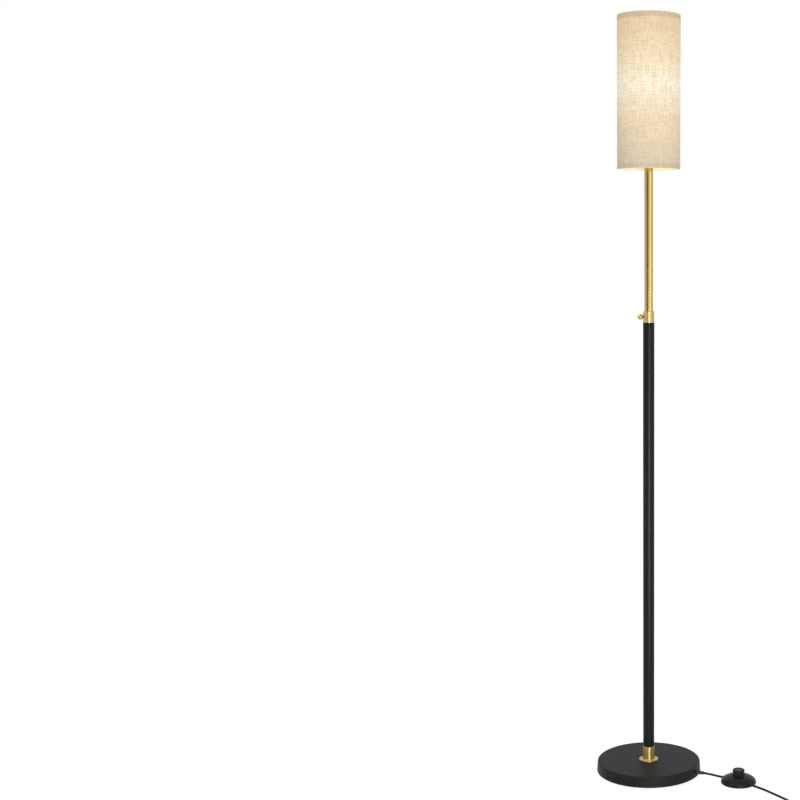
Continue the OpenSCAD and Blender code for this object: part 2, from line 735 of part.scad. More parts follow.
// Shade
module shade_ring() {
    color(BLACK) ring(holder_flange_d / 2, holder_r + run_gap, shade_ring_h, shade_ring_z);
}
module arms(d) {
    for (k = [0 : arm_count - 1]) rotate([0, 0, arm_first_deg + 360 * k / arm_count])
        rod(arm_start, arm_end, d);
}
module shade_spider() {
    color(WHITE) union() {
        ring(hub_r, hub_in_r, hub_t, hub_z);
        arms(arm_wire);
        torus(ring_r, ring_wire, shade_z + ring_inset);
    }
}
module shade_top_ring() {
    color(WHITE) torus(ring_r, ring_wire, shade_top - ring_inset);
}
// The linen is turned in over both rings; the arms pass through slits in the lower hem
module shade_linen() {
    slit = arm_wire + 2 * free_gap;
    seam_deg = seam_w / shade_r * 180 / PI;
    lip_r = hem_in_r - linen_t;
    color(LINEN) difference() {
        union() {
            rotate_extrude($fn = 180) polygon([
                [lip_r, shade_z], [shade_r, shade_z], [shade_r, shade_top], [lip_r, shade_top],
                [lip_r, shade_top - hem_h], [hem_in_r, shade_top - hem_h], [hem_in_r, shade_top - linen_t],
                [linen_in_r, shade_top - linen_t], [linen_in_r, shade_z + linen_t],
                [hem_in_r, shade_z + linen_t], [hem_in_r, shade_z + hem_h], [lip_r, shade_z + hem_h]
            ]);
            rotate([0, 0, 90 - seam_deg / 2]) rotate_extrude(angle = seam_deg, $fn = 180)
                translate([shade_r - linen_t / 2, shade_z + hem_h])
                    square([linen_t / 2 + seam_t, shade_h - 2 * hem_h]);
        }
        intersection() {
            arms(slit);
            translate([0, 0, shade_z - 1]) cylinder(r = ring_r, h = hem_h + 20);
        }
    }
}
module shade_lining() {
    inset = linen_t + seat_gap;
    color(WHITE) ring(lining_r, lining_in_r, shade_h - 2 * inset, shade_z + inset, $fn = 180);
}

// Bulb
module bulb_cap() {
    r = bulb_cap_d / 2;
    top = bulb_cap_z + bulb_cap_l;
    teeth = 5;
    step = (bulb_cap_l - 4) / teeth;
    color(STEEL) rotate_extrude() polygon(concat(
        [[0, bulb_cap_z], [r - 2.5, bulb_cap_z], [r - 1, bulb_cap_z + 1]],
        [for (k = [0 : teeth - 1]) each [[r, bulb_cap_z + 1 + (k + 0.5) * step],
            [r - 0.9, bulb_cap_z + 1 + (k + 1) * step]]],
        [[r - 0.5, top], [0, top]]
    ));
}
module bulb_contact() {
    color(RUBBER) translate([0, 0, bulb_tip_z + bulb_tip_h])
        cylinder(r1 = 4.5, r2 = bulb_cap_d / 2 - 2.5, h = bulb_glass_h, $fn = 48);
    color(STEEL) translate([0, 0, bulb_tip_z]) cylinder(r1 = 3.5, r2 = 4.5, h = bulb_tip_h, $fn = 48);
}
module bulb_body() {
    r0 = bulb_cap_d / 2 + 0.3;
    r1 = bulb_rim_d / 2;
    color(WHITE) rotate_extrude() polygon(concat(
        [[0, bulb_body_z]],
        [for (k = [0 : 10]) let (u = k / 10) [r0 + (r1 - r0) * smooth(u * 0.85 + 0.08), bulb_body_z + u * bulb_body_l]],
        [[0, bulb_rim_z]]
    ));
}
module bulb_globe() {
    color("#fff6e2") difference() {
        translate([0, 0, globe_z]) difference() {
            sphere(r = globe_r);
            sphere(r = globe_r - globe_wall);
        }
        translate([0, 0, bulb_rim_z - 100]) cylinder(r = globe_d, h = 100);
    }
}

// Foot switch
module at_switch() {
    translate(switch_c) children();
}
module dome_outline(inset, low) {
    steps = 12;
    polygon(concat(
        [[0, low], [dome_r - inset, low]],
        [for (k = [0 : steps]) [(dome_r - inset) * cos(90 * k / steps),
            switch_rim_h + (dome_h - inset) * sin(90 * k / steps)]]
    ));
}
module switch_cord_holes(r) {
    for (a = [switch_in_deg, switch_out_deg]) rotate([0, 0, a])
        translate([switch_r - 8, 0, switch_cord_z]) rotate([0, 90, 0]) cylinder(r = r, h = 12, $fn = 32);
}
module switch_pads() {
    color(RUBBER) at_switch() for (a = [20, 140, 260]) rotate([0, 0, a])
        translate([24, 0, 0]) cylinder(r = 6, h = switch_pad_t, $fn = 32);
}
module switch_base() {
    color(BLACK) at_switch() difference() {
        translate([0, 0, switch_plate_z]) cylinder(r = switch_plate_r, h = switch_plate_t);
        for (a = screw_degs) rotate([0, 0, a]) translate([screw_ring_r, 0, 0])
            cylinder(r = 1.7, h = switch_floor + 1, $fn = 32);
    }
}
module switch_cover() {
    neck_r = button_hole_r + neck_wall;
    color(BLACK) at_switch() difference() {
        union() {
            rotate_extrude() difference() {
                union() {
                    dome_outline(0, switch_plate_z);
                    translate([0, switch_plate_z]) square([switch_r, switch_rim_h - 1 - switch_plate_z]);
                }
                dome_outline(switch_wall, 0);
            }
            intersection() {
                union() {
                    ring(neck_r, 1, switch_dome_h, neck_low);
                    for (a = screw_degs) rotate([0, 0, a])
                        translate([screw_ring_r, 0, switch_floor + seat_gap]) cylinder(r = post_out_r, h = 20, $fn = 32);
                }
                rotate_extrude() dome_outline(switch_wall / 2, 0);
            }
        }
        translate([0, 0, neck_low - 1]) cylinder(r = button_hole_r, h = 20);
        for (a = screw_degs) rotate([0, 0, a]) translate([screw_ring_r, 0, 0])
            cylinder(r = pilot_r + seat_gap, h = 9, $fn = 32);
        switch_cord_holes(grommet_r + seat_gap);
    }
}
module switch_grommets() {
    color(RUBBER) at_switch() difference() {
        intersection() {
            switch_cord_holes(grommet_r);
            ring(switch_r + 0.4, switch_plate_r + seat_gap, 30);
        }
        for (a = [switch_in_deg, switch_out_deg]) rotate([0, 0, a])
            translate([switch_r - 12, 0, switch_cord_z]) rotate([0, 90, 0])
                cylinder(r = cord_d / 2 + seat_gap, h = 20, $fn = 32);
    }
}
module switch_mechanism() {
    color(CREAM) at_switch() translate([-box_w / 2, -box_d / 2, switch_floor])
        cube([box_w, box_d, box_top - switch_floor]);
}
module switch_contacts() {
    color(BRASS) at_switch() for (a = [switch_in_deg, switch_out_deg]) rotate([0, 0, a]) for (y = [-3, 3])
        translate([contact_in_r, y - 1, switch_floor]) cube([cord_stop_r + 1.5 - contact_in_r, 2, 0.6]);
}
module switch_screws() {
    color(STEEL) at_switch() for (a = screw_degs) rotate([0, 0, a]) translate([screw_ring_r, 0, 0]) {
        translate([0, 0, switch_plate_z - 0.5]) cylinder(r = 2.6, h = 0.5, $fn = 32);
        translate([0, 0, switch_plate_z - eps]) cylinder(r = pilot_r, h = 8, $fn = 32);
    }
}
module switch_spring() {
    low = box_top + spring_wire / 2 + seat_gap;
    high = button_top_z - button_crown - spring_wire / 2 - seat_gap;
    steps = spring_turns * 8;
    path = [for (k = [0 : steps]) let (u = k / steps, a = 45 * k)
        [spring_mid_r * cos(a), spring_mid_r * sin(a), low + (high - low) * u]];
    color(STEEL) at_switch() tube(path, spring_wire, 6);
}
module switch_button() {
    edge = 2;
    crown = [for (a = [0 : 15 : 90]) [button_r - edge + edge * cos(a), button_top_z - edge + edge * sin(a)]];
    color(BLACK) at_switch() union() {
        rotate_extrude() polygon(concat(
            [[button_r - button_wall, flange_top - button_flange_t],
                [button_flange_r, flange_top - button_flange_t], [button_flange_r, flange_top],
                [button_r, flange_top]],
            crown,
            [[0, button_top_z - 0.5], [0, button_top_z - button_crown],
                [button_r - button_wall, button_top_z - button_crown]]
        ));
        translate([0, 0, post_bottom]) cylinder(r = post_r, h = button_top_z - 1 - post_bottom, $fn = 32);
    }
}

// Lead, coil and plug
module cord_to_switch() {
    color(PVC) tube(to_switch_route, cord_d, 10);
}
module cord_run() {
    color(PVC) tube(run_route, cord_d, 10);
}
module cord_coil() {
    color(PVC) tube(coil_route, cord_d, 6);
}
// A flat strap round the coil's turns, on the side away from the plug
module coil_tie() {
    least_r = coil_r - coil_pitch * (coil_in_turns + turn_back / 4) - cord_d / 2;
    inner = least_r - tie_w * tie_w / 8 / least_r - free_gap;
    outer = coil_r + cord_d / 2 + free_gap;
    high = coil_z + coil_pitch + cord_d / 2 + free_gap;
    w = outer - inner;
    h = high - tie_t;
    color(RUBBER) translate(coil_c) rotate([0, 0, 150])
        translate([inner + w / 2, tie_w / 2, tie_t + h / 2]) rotate([90, 0, 0])
            linear_extrude(tie_w) difference() {
                rounded_rect(w + 2 * tie_t, h + 2 * tie_t, 2 + tie_t);
                rounded_rect(w, h, 2);
            }
}
module at_plug() {
    translate(plug_c) rotate([0, -90, 0]) children();
}
module plug_relief() {
    color(PVC) at_plug() translate([0, 0, -relief_l]) cylinder(r1 = cord_d / 2 + 0.7, r2 = 5.4, h = relief_l, $fn = 48);
}
module plug_body() {
    shoulder = 6;
    color(PVC) at_plug() {
        linear_extrude(shoulder) rounded_rect(plug_h - 2, plug_w - 5, 4);
        translate([0, 0, shoulder]) linear_extrude(plug_l - shoulder) rounded_rect(plug_h, plug_w, 4);
    }
}
module plug_blades() {
    color(BRASS) at_plug() for (s = [-1, 1]) translate([-blade_w / 2, s * blade_span / 2 - blade_t / 2, plug_l])
        cube([blade_w, blade_t, blade_l]);
}

base_cover();
base_weight();
base_plate();
base_pad();
base_collar();
pole_stud();
stud_washer();
stud_nut();
cord_bush();
terminal_block();
block_screws();
base_lead();
pole_foot();
lower_pole();
top_collar();
guide_bush();
lead_lower();
thumb_screw();
clamp_shoe();
glide_bush();
upper_pole();
glide_clips();
pole_top_plug();
socket_nipple();
nipple_nut();
lead_upper();
lampholder_cap();
lampholder_body();
lampholder_core();
screw_shell();
centre_contact();
holder_terminals();
shade_ring();
shade_spider();
shade_top_ring();
shade_linen();
shade_lining();
bulb_cap();
bulb_contact();
bulb_body();
bulb_globe();
switch_pads();
switch_base();
switch_cover();
switch_grommets();
switch_mechanism();
switch_contacts();
switch_screws();
switch_spring();
switch_button();
cord_to_switch();
cord_run();
cord_coil();
coil_tie();
plug_relief();
plug_body();
plug_blades();
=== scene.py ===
# Telescopic floor lamp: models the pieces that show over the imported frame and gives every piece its
# material. Blender works in metres; sizes in this file are in millimetres unless a name or a
# comment says metres. The pole's axis is the Z axis and the front of the lamp faces -Y.
from functools import cache
from math import acos, asin, atan2, ceil, cos, degrees, pi, radians, sin, tan

import bmesh
import bpy
from bpy.props import FloatProperty, FloatVectorProperty, PointerProperty
from mathutils import Matrix, Vector


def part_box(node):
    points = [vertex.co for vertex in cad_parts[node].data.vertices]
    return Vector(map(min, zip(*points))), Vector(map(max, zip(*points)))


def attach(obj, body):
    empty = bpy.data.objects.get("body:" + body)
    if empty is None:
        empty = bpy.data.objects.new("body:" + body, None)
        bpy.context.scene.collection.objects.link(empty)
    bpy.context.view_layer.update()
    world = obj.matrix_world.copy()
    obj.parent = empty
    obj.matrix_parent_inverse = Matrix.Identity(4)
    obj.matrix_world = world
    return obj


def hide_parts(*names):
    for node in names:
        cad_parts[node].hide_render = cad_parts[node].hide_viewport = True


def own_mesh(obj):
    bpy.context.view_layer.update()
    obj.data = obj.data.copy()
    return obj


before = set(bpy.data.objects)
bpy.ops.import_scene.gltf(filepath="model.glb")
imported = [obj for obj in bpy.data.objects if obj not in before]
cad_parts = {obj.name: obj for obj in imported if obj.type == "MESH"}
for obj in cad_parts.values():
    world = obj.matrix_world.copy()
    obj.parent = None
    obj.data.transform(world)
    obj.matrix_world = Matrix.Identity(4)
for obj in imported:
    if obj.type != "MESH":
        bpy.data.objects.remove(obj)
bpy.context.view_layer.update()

bl_info = {
    "name": "Telescopic floor lamp",
    "version": (1, 0, 0),
    "blender": (4, 5, 0),
    "location": "3D View > Sidebar > Lamp",
    "description": "Models a telescopic floor lamp piece by piece and gives it its materials",
    "category": "Object",
}

MM = 0.001
FULL_TURN = 2 * pi


# ---- Sizes and colours -------------------------------------------------------------------------

def colour(code):
    """Turns an sRGB hex code into linear red, green, blue and alpha."""
    parts = [int(code[i:i + 2], 16) / 255 for i in (1, 3, 5)]
    return [p / 12.92 if p <= 0.04045 else ((p + 0.055) / 1.055) ** 2.4 for p in parts] + [1.0]


def reach(node):
    """Radius, foot and top of an upright round CAD node, in millimetres."""
    low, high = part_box(node)
    return (high[0] - low[0]) / 2 / MM, low[2] / MM, high[2] / MM


def across(node):
    """Diameter of an upright round CAD node, in metres."""
    return 2 * MM * reach(node)[0]


def size(label, words, value):
    """A length in metres that a user can change."""
    return FloatProperty(name=label, description=words, default=value, min=0, unit="LENGTH")


def strength(label, words, value):
    """The strength of a light that a user can change."""
    return FloatProperty(name=label, description=words, default=value, min=0)


def tint(label, words, code):
    """A colour that a user can change."""
    return FloatVectorProperty(
        name=label, description=words, default=colour(code), size=4, min=0, max=1, subtype="COLOR")


class LampStandSettings(bpy.types.PropertyGroup):
    base_diameter: size("Base diameter", "Diameter of the base cover at its lower edge", across("base_cover"))
    base_edge: size("Edge rounding", "Radius of the cover's rounded top edge", 0.003)
    lower_diameter: size("Lower pole", "Outside diameter of the black lower pole", across("lower_pole"))
    upper_diameter: size("Upper pole", "Outside diameter of the brass upper pole", across("upper_pole"))
    coat: tint("Coat", "Black of the base and the lower pole", "#0f0f10")
    brass: tint("Brass", "Brass of the upper pole, the collars and the thumb screw", "#b8a165")


class LampShadeSettings(bpy.types.PropertyGroup):
    diameter: size("Shade diameter", "Outside diameter of the shade", 0.135)
    height: size("Shade height", "Height of the shade between its rolled edges", 0.322)
    hem: size("Hem", "Height of the turned hem at both edges", 0.011)
    thread: size("Thread spacing", "Distance between neighbouring threads of the weave", 0.0011)
    slub: size("Slub length", "Length of a thick place in a thread", 0.022)
    linen: tint("Linen", "Linen in daylight, without the bulb's glow", "#c3b7a2")


class LampLeadSettings(bpy.types.PropertyGroup):
    diameter: size("Lead diameter", "Outside diameter of the lead", 0.005)
    switch_diameter: size("Switch diameter", "Diameter of the foot switch at its rim", across("switch_cover"))
    button_diameter: size("Button diameter", "Diameter of the push button", 0.026)
    plastic: tint("Switch plastic", "Black of the foot switch", "#101011")
    sleeve: tint("Lead sleeve", "Black of the leads and the plug", "#0f0f10")


class LampStageSettings(bpy.types.PropertyGroup):
    floor: tint("Floor", "Colour of the floor", "#f4f3f1")
    sky: strength("Sky", "Strength of the even light from all round", 0.73)
    key: strength("Key light", "Radiance of the wide light at the right", 1.05)
    strip: strength("Strip light", "Radiance of the low upright strip at the front", 17)
    fill: strength("Fill light", "Radiance of the high light at the left", 10)
    front: strength("Front light", "Radiance of the light from the camera's side", 1.25)


# ---- Modelling -----------------------------------------------------------------------------------

def only(*pieces):
    """Selects these pieces alone, in object mode."""
    if bpy.context.object and bpy.context.object.mode != "OBJECT":
        bpy.ops.object.mode_set(mode="OBJECT")
    bpy.ops.object.select_all(action="DESELECT")
    for piece in pieces:
        piece.select_set(True)
    if pieces:
        bpy.context.view_layer.objects.active = pieces[0]


def named(name):
    """Names the piece that was just added, and goes into edit mode."""
    piece = bpy.context.object
    piece.name = piece.data.name = name
    bpy.ops.object.mode_set(mode="EDIT")
    return piece


def block(name, at, sizes):
    """A plain block in edit mode, with its middle and its sizes in millimetres."""
    only()
    bpy.ops.mesh.primitive_cube_add(size=1, location=Vector(at) * MM, scale=Vector(sizes) * MM)
    return named(name)


def pick(piece, kind, test):
    """Selects the edges or faces whose middle, in metres, passes the test."""
    bpy.ops.mesh.select_mode(type=kind)
    bpy.ops.mesh.select_all(action="DESELECT")
    mesh = bmesh.from_edit_mesh(piece.data)
    for part in {"EDGE": mesh.edges, "FACE": mesh.faces}[kind]:
        middle = sum((v.co for v in part.verts), Vector()) / len(part.verts)
        if test(piece.matrix_world @ middle):
            part.select_set(True)
    bmesh.update_edit_mesh(piece.data)


def fixed(piece):
    """Puts the piece's place, turn and scale into its mesh."""
    only(piece)
    bpy.ops.object.transform_apply(location=True, rotation=True, scale=True)
    return piece


def close_up(piece):
    """Merges doubles, turns the faces outwards and puts the piece's place into its mesh."""
    if piece.mode != "EDIT":
        only(piece)
        bpy.ops.object.mode_set(mode="EDIT")
    bpy.ops.mesh.select_all(action="SELECT")
    bpy.ops.mesh.remove_doubles(threshold=0.002 * MM)
    bpy.ops.mesh.normals_make_consistent(inside=False)
    return fixed(piece)


def place(piece, at=(0, 0, 0), turn=(0, 0, 0)):
    """Moves a piece to its place, in millimetres, after turning it, in degrees."""
    piece.location = Vector(at) * MM
    piece.rotation_euler = [radians(a) for a in turn]
    return fixed(piece)


def modify(piece, kind, **settings):
    """Adds a modifier with its settings and applies it."""
    only(piece)
    bpy.ops.object.modifier_add(type=kind)
    modifier = piece.modifiers[-1]
    for key, value in settings.items():
        setattr(modifier, key, value)
    bpy.ops.object.modifier_apply(modifier=modifier.name)


def bevelled(piece, width, segments, angle=40):
    """Rounds the edges that are sharper than the angle in degrees, by a width in millimetres."""
    modify(piece, "BEVEL", width=width * MM, segments=segments, limit_method="ANGLE",
           angle_limit=radians(angle))
    return piece


def cut(piece, *tools):
    """Cuts the tools' shapes out of the piece, and removes the tools."""
    for tool in tools:
        before = len(piece.data.vertices)
        modify(piece, "BOOLEAN", operation="DIFFERENCE", solver="EXACT", object=tool)
        if len(piece.data.vertices) in (0, before):
            raise RuntimeError(f"{tool.name} cut nothing out of {piece.name}, or all of it")
        bpy.data.objects.remove(tool)
    return piece


def joined(name, *pieces):
    """Joins the pieces into the first one."""
    only(*pieces)
    bpy.ops.object.join()
    pieces[0].name = pieces[0].data.name = name
    return pieces[0]


def rounded(points, closed, hold):
    """Rounds the corners of an outline of (radius, height, rounding) points, in steps of 15 degrees
    or less. Beside each rounding lies a point at the distance hold, which keeps the flat face next
    to it flat in the shading."""
    line = []
    for i, point in enumerate(points):
        corner = Vector(point[:2])
        if len(point) < 3 or (not closed and i in (0, len(points) - 1)):
            line.append(corner)
            continue
        radius = point[2]
        back = Vector(points[i - 1][:2]) - corner
        on = Vector(points[(i + 1) % len(points)][:2]) - corner
        half = back.angle(on) / 2
        run = radius / tan(half)
        lengths = back.length, on.length
        back.normalize()
        on.normalize()
        centre = corner + (back + on).normalized() * radius / sin(half)
        first, last = corner + back * run - centre, corner + on * run - centre
        bend = pi - 2 * half
        steps = max(2, ceil(degrees(bend) / 15))
        if lengths[0] - run > 3 * hold:
            line.append(corner + back * (run + hold))
        for k in range(steps + 1):
            part = bend * k / steps
            line.append(centre + (first * sin(bend - part) + last * sin(part)) / sin(bend))
        if lengths[1] - run > 3 * hold:
            line.append(corner + on * (run + hold))
    return line


def arc(wide, tall, middle, start, stop, steps):
    """Outline points on an ellipse round a middle on the axis, between two angles from the level."""
    angles = [start + (stop - start) * k / steps for k in range(steps + 1)]
    return [(wide * cos(a), middle + tall * sin(a)) for a in angles]


def turned(name, points, steps=96, closed=True, hold=0.4, angle=32):
    """Draws an outline of (radius, height, rounding) points by extruding one point along it, and
    spins it round the Z axis. An open outline starts and ends on that axis."""
    line = rounded(points, closed, hold)
    if closed:
        line.append(line[0])
    only()
    start = line[0] * MM
    bpy.ops.mesh.primitive_plane_add(size=MM, calc_uvs=False, location=(start.x, 0, start.y))
    piece = named(name)
    bpy.ops.mesh.select_mode(type="VERT")
    bpy.ops.mesh.merge(type="CENTER")
    for here, there in zip(line, line[1:]):
        step = (there - here) * MM
        bpy.ops.mesh.extrude_region_move(TRANSFORM_OT_translate={"value": (step.x, 0, step.y)})
    bpy.ops.mesh.select_all(action="SELECT")
    bpy.ops.mesh.spin(steps=steps, angle=FULL_TURN, center=(0, 0, 0), axis=(0, 0, 1))
    close_up(piece)
    return smooth(piece, angle)


def smooth(piece, angle=32):
    """Shades the piece smooth, apart from edges sharper than the angle in degrees."""
    only(piece)
    bpy.ops.object.shade_smooth_by_angle(angle=radians(angle))
    return piece


def rod(name, start, end, radius, edge=0.4, steps=24):
    """A round rod with rounded ends between two points, in millimetres."""
    way = Vector(end) - Vector(start)
    points = [(0, 0), (radius, 0, edge), (radius, way.length, edge), (0, way.length)]
    piece = turned(name, points, steps, closed=False)
    lie = way.to_track_quat("Z", "Y").to_matrix().to_4x4()
    piece.matrix_world = Matrix.Translation(Vector(start) * MM) @ lie
    return fixed(piece)


def settle(piece, body, material, slot, *nodes):
    """Gives a finished piece its material and its body, and hides the CAD nodes it stands for. The slot is
    not used.
    """
    piece.data.materials.clear()
    piece.data.materials.append(material)
    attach(piece, body)
    if nodes:
        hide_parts(*nodes)
    return piece


def shorten(piece):
    """Gives an upright piece its own copy of its mesh."""
    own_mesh(piece)
    return piece


# ---- Materials -----------------------------------------------------------------------------------

def add(tree, kind, settings=None, links=None):
    """Adds a node with its settings, and links or sets its inputs. A ramp's stops are a setting."""
    node = tree.nodes.new("ShaderNode" + kind)
    for key, value in (settings or {}).items():
        if key == "stops":
            stops = node.color_ramp.elements
            stops.remove(stops[1])
            stops[0].position, stops[0].color = value[0]
            for position, shade in value[1:]:
                stops.new(position).color = shade
        else:
            setattr(node, key, value)
    for key, value in (links or {}).items():
        if isinstance(value, bpy.types.NodeSocket):
            tree.links.new(value, node.inputs[key])
        else:
            node.inputs[key].default_value = value
    return node


def surface(name, **sockets):
    """Starts a material: its node tree, its shader with the sockets set, and Object coordinates."""
    material = bpy.data.materials.new(name)
    material.use_nodes = True
    tree = material.node_tree
    shader = tree.nodes["Principled BSDF"]
    for key, value in sockets.items():
        shader.inputs[key.replace("_", " ")].default_value = value
    return material, tree, shader, add(tree, "TexCoord").outputs["Object"]


def feed(tree, shader, **outputs):
    """Links each output to the shader's socket of that name."""
    for key, output in outputs.items():
        tree.links.new(output, shader.inputs[key.replace("_", " ")])


def grained(name, base, rough, grain, relief, spread=0.12, stretch=(1, 1, 1), bite=0.05, **sockets):
    """A material whose grain, a noise of that size in millimetres, moves the surface by the
    relief in millimetres, shades the base colour by the spread, and moves the roughness by the bite."""
    material, tree, shader, coords = surface(name, **sockets)
    way = add(tree, "Mapping", {}, {"Vector": coords, "Scale": [1 / (grain * MM * s) for s in stretch]})
    noise = add(tree, "TexNoise", {}, {"Vector": way.outputs[0], "Scale": 1, "Detail": 3, "Roughness": 0.6})
    cloud = add(tree, "TexNoise", {}, {"Vector": coords, "Scale": 18, "Detail": 2})
    both = add(tree, "Math", {"operation": "ADD"}, {0: noise.outputs[0], 1: cloud.outputs[0]})
    half = add(tree, "Math", {"operation": "MULTIPLY"}, {0: both.outputs[0], 1: 0.5})
    dark, light = [[c * (1 + s * spread) for c in base[:3]] + [1] for s in (-1, 1)]
    shade = add(tree, "ValToRGB", {"stops": [(0.32, dark), (0.68, light)]}, {0: half.outputs[0]})
    gloss = add(tree, "MapRange", {}, {"Value": noise.outputs[0], "From Min": 0.3, "From Max": 0.7,
                                       "To Min": rough - bite, "To Max": rough + bite})
    bump = add(tree, "Bump", {}, {"Strength": 1, "Distance": relief * MM, "Height": noise.outputs[0]})
    if "Anisotropic" in sockets:
        round_z = add(tree, "Tangent", {"direction_type": "RADIAL", "axis": "Z"})
        feed(tree, shader, Tangent=round_z.outputs[0])
    feed(tree, shader, Base_Color=shade.outputs[0], Roughness=gloss.outputs[0], Normal=bump.outputs[0])
    return material


@cache
def powder_coat():
    """Polyester powder, sprayed on steel and baked: satin, with a faint orange peel. Real orange
    peel is about 0.4 mm; it is drawn at 1.2 mm so that it shows."""
    return grained("powder_coat_black_satin", bpy.context.scene.lamp_stand.coat, 0.54, 1.2, 0.02,
                   Specular_IOR_Level=0.15)


@cache
def pole_coat():
    """The same powder on the drawn tube of the pole, where it lies smoother than on the pressed
    base: a narrow soft highlight runs up it."""
    return grained("powder_coat_black_on_tube", bpy.context.scene.lamp_stand.coat, 0.34, 1.2, 0.001,
                   bite=0.02, Specular_IOR_Level=0.14)


@cache
def drawn_brass():
    """Brass tube, brushed lengthwise and lacquered: fine bright and dark lines run up the pole, and
    they spread its highlights round it. A brush mark is about 0.1 mm wide and 60 mm long; it is
    drawn 0.5 mm wide."""
    return grained("brass_tube_brushed_lacquered", bpy.context.scene.lamp_stand.brass, 0.22, 0.5, 0.0003,
                   spread=0.07, stretch=(1, 1, 120), bite=0.04, Metallic=1, Anisotropic=0.3)


@cache
def turned_brass():
    """Brass turned on a lathe and lacquered: its tool marks run round the piece, 0.3 mm apart, and
    they stretch its highlights upright."""
    return grained("brass_turned_lacquered", bpy.context.scene.lamp_stand.brass, 0.33, 0.3, 0.0005,
                   spread=0.05, stretch=(400, 400, 1), bite=0.04, Metallic=1, Anisotropic=0.85,
                   Anisotropic_Rotation=0.25)


@cache
def bare_brass():
    """Brass strip, stamped and left bare: duller and browner, with rolling lines."""
    return grained("brass_strip_stamped", colour("#b8914a"), 0.36, 0.3, 0.004, stretch=(1, 20, 1), Metallic=1)


@cache
def zinc_steel():
    """Steel with bright zinc plating: pale bluish grey, a little cloudy."""
    return grained("steel_zinc_plated", colour("#b4b8be"), 0.34, 0.6, 0.005, spread=0.1, Metallic=1)


@cache
def cast_iron():
    """Grey iron, cast in sand and left raw: dark and dull, with sand grains of about 0.8 mm."""
    return grained("iron_sand_cast", colour("#4b4a48"), 0.72, 0.8, 0.12, spread=0.25, Metallic=0.6)


@cache
def white_enamel():
    """Wire dipped in white enamel: glossy, slightly wavy where the paint ran."""
    return grained("wire_white_enamel", colour("#ebe8e0"), 0.28, 3.0, 0.02, spread=0.04)


@cache
def natural_nylon():
    """Nylon, injection moulded without a pigment: milky ivory with a soft gloss."""
    return grained("nylon_moulded_natural", colour("#e3ddcc"), 0.42, 1.5, 0.01, spread=0.05,
                   Subsurface_Weight=0.1, Subsurface_Scale=0.002)


@cache
def black_phenolic():
    """Phenolic resin, pressed in a polished mould: glossy black with faint flow marks."""
    return grained("phenolic_pressed_black", colour("#141313"), 0.2, 6.0, 0.01, spread=0.2, bite=0.05)


@cache
def steatite():
    """Steatite ceramic, pressed and fired unglazed: cream, matt, with a fine grain."""
    return grained("steatite_fired", colour("#e6ddc6"), 0.62, 0.5, 0.015, spread=0.06)


@cache
def white_moulding():
    """White polycarbonate, moulded: smooth and a little glossy."""
    return grained("polycarbonate_moulded_white", colour("#eeece4"), 0.33, 2.0, 0.008, spread=0.03)


@cache
def black_moulding():
    """ABS, moulded against a spark-eroded tool: satin black with a fine even texture. The texture
    is about 0.15 mm; it is drawn at 0.5 mm so that it shows."""
    return grained("abs_moulded_black", bpy.context.scene.lamp_lead.plastic, 0.38, 0.5, 0.012, spread=0.12,
                   Specular_IOR_Level=0.13)


@cache
def black_sleeve():
    """PVC, extruded round the wires: soft black with a dull sheen and a slightly uneven skin."""
    return grained("pvc_extruded_black", bpy.context.scene.lamp_lead.sleeve, 0.42, 1.6, 0.02, spread=0.15,
                   Specular_IOR_Level=0.2)


@cache
def black_rubber():
    """Rubber, pressed and trimmed: matt charcoal with a fine dusty grain."""
    return grained("rubber_pressed_black", colour("#1c1c1c"), 0.68, 0.5, 0.02, spread=0.2)


@cache
def grey_foam():
    """EVA foam, cut from sheet: matt dark grey, with open cells of about 0.8 mm on its skin."""
    return grained("eva_foam_cut", colour("#2b2b2c"), 0.88, 0.8, 0.12, spread=0.3)


@cache
def nickel_brass():
    """Brass cap with thin nickel plating: bright pale metal with a warm cast."""
    return grained("brass_nickel_plated", colour("#c9c5bb"), 0.26, 0.8, 0.006, spread=0.06, Metallic=1)


def height_share(tree, coords, node):
    """The share of a CAD node's height, 0 at its foot and 1 at its top."""
    up = add(tree, "SeparateXYZ", {}, {0: coords}).outputs["Z"]
    low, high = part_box(node)
    return add(tree, "MapRange", {}, {"Value": up, "From Min": low[2], "From Max": high[2]}).outputs[0]


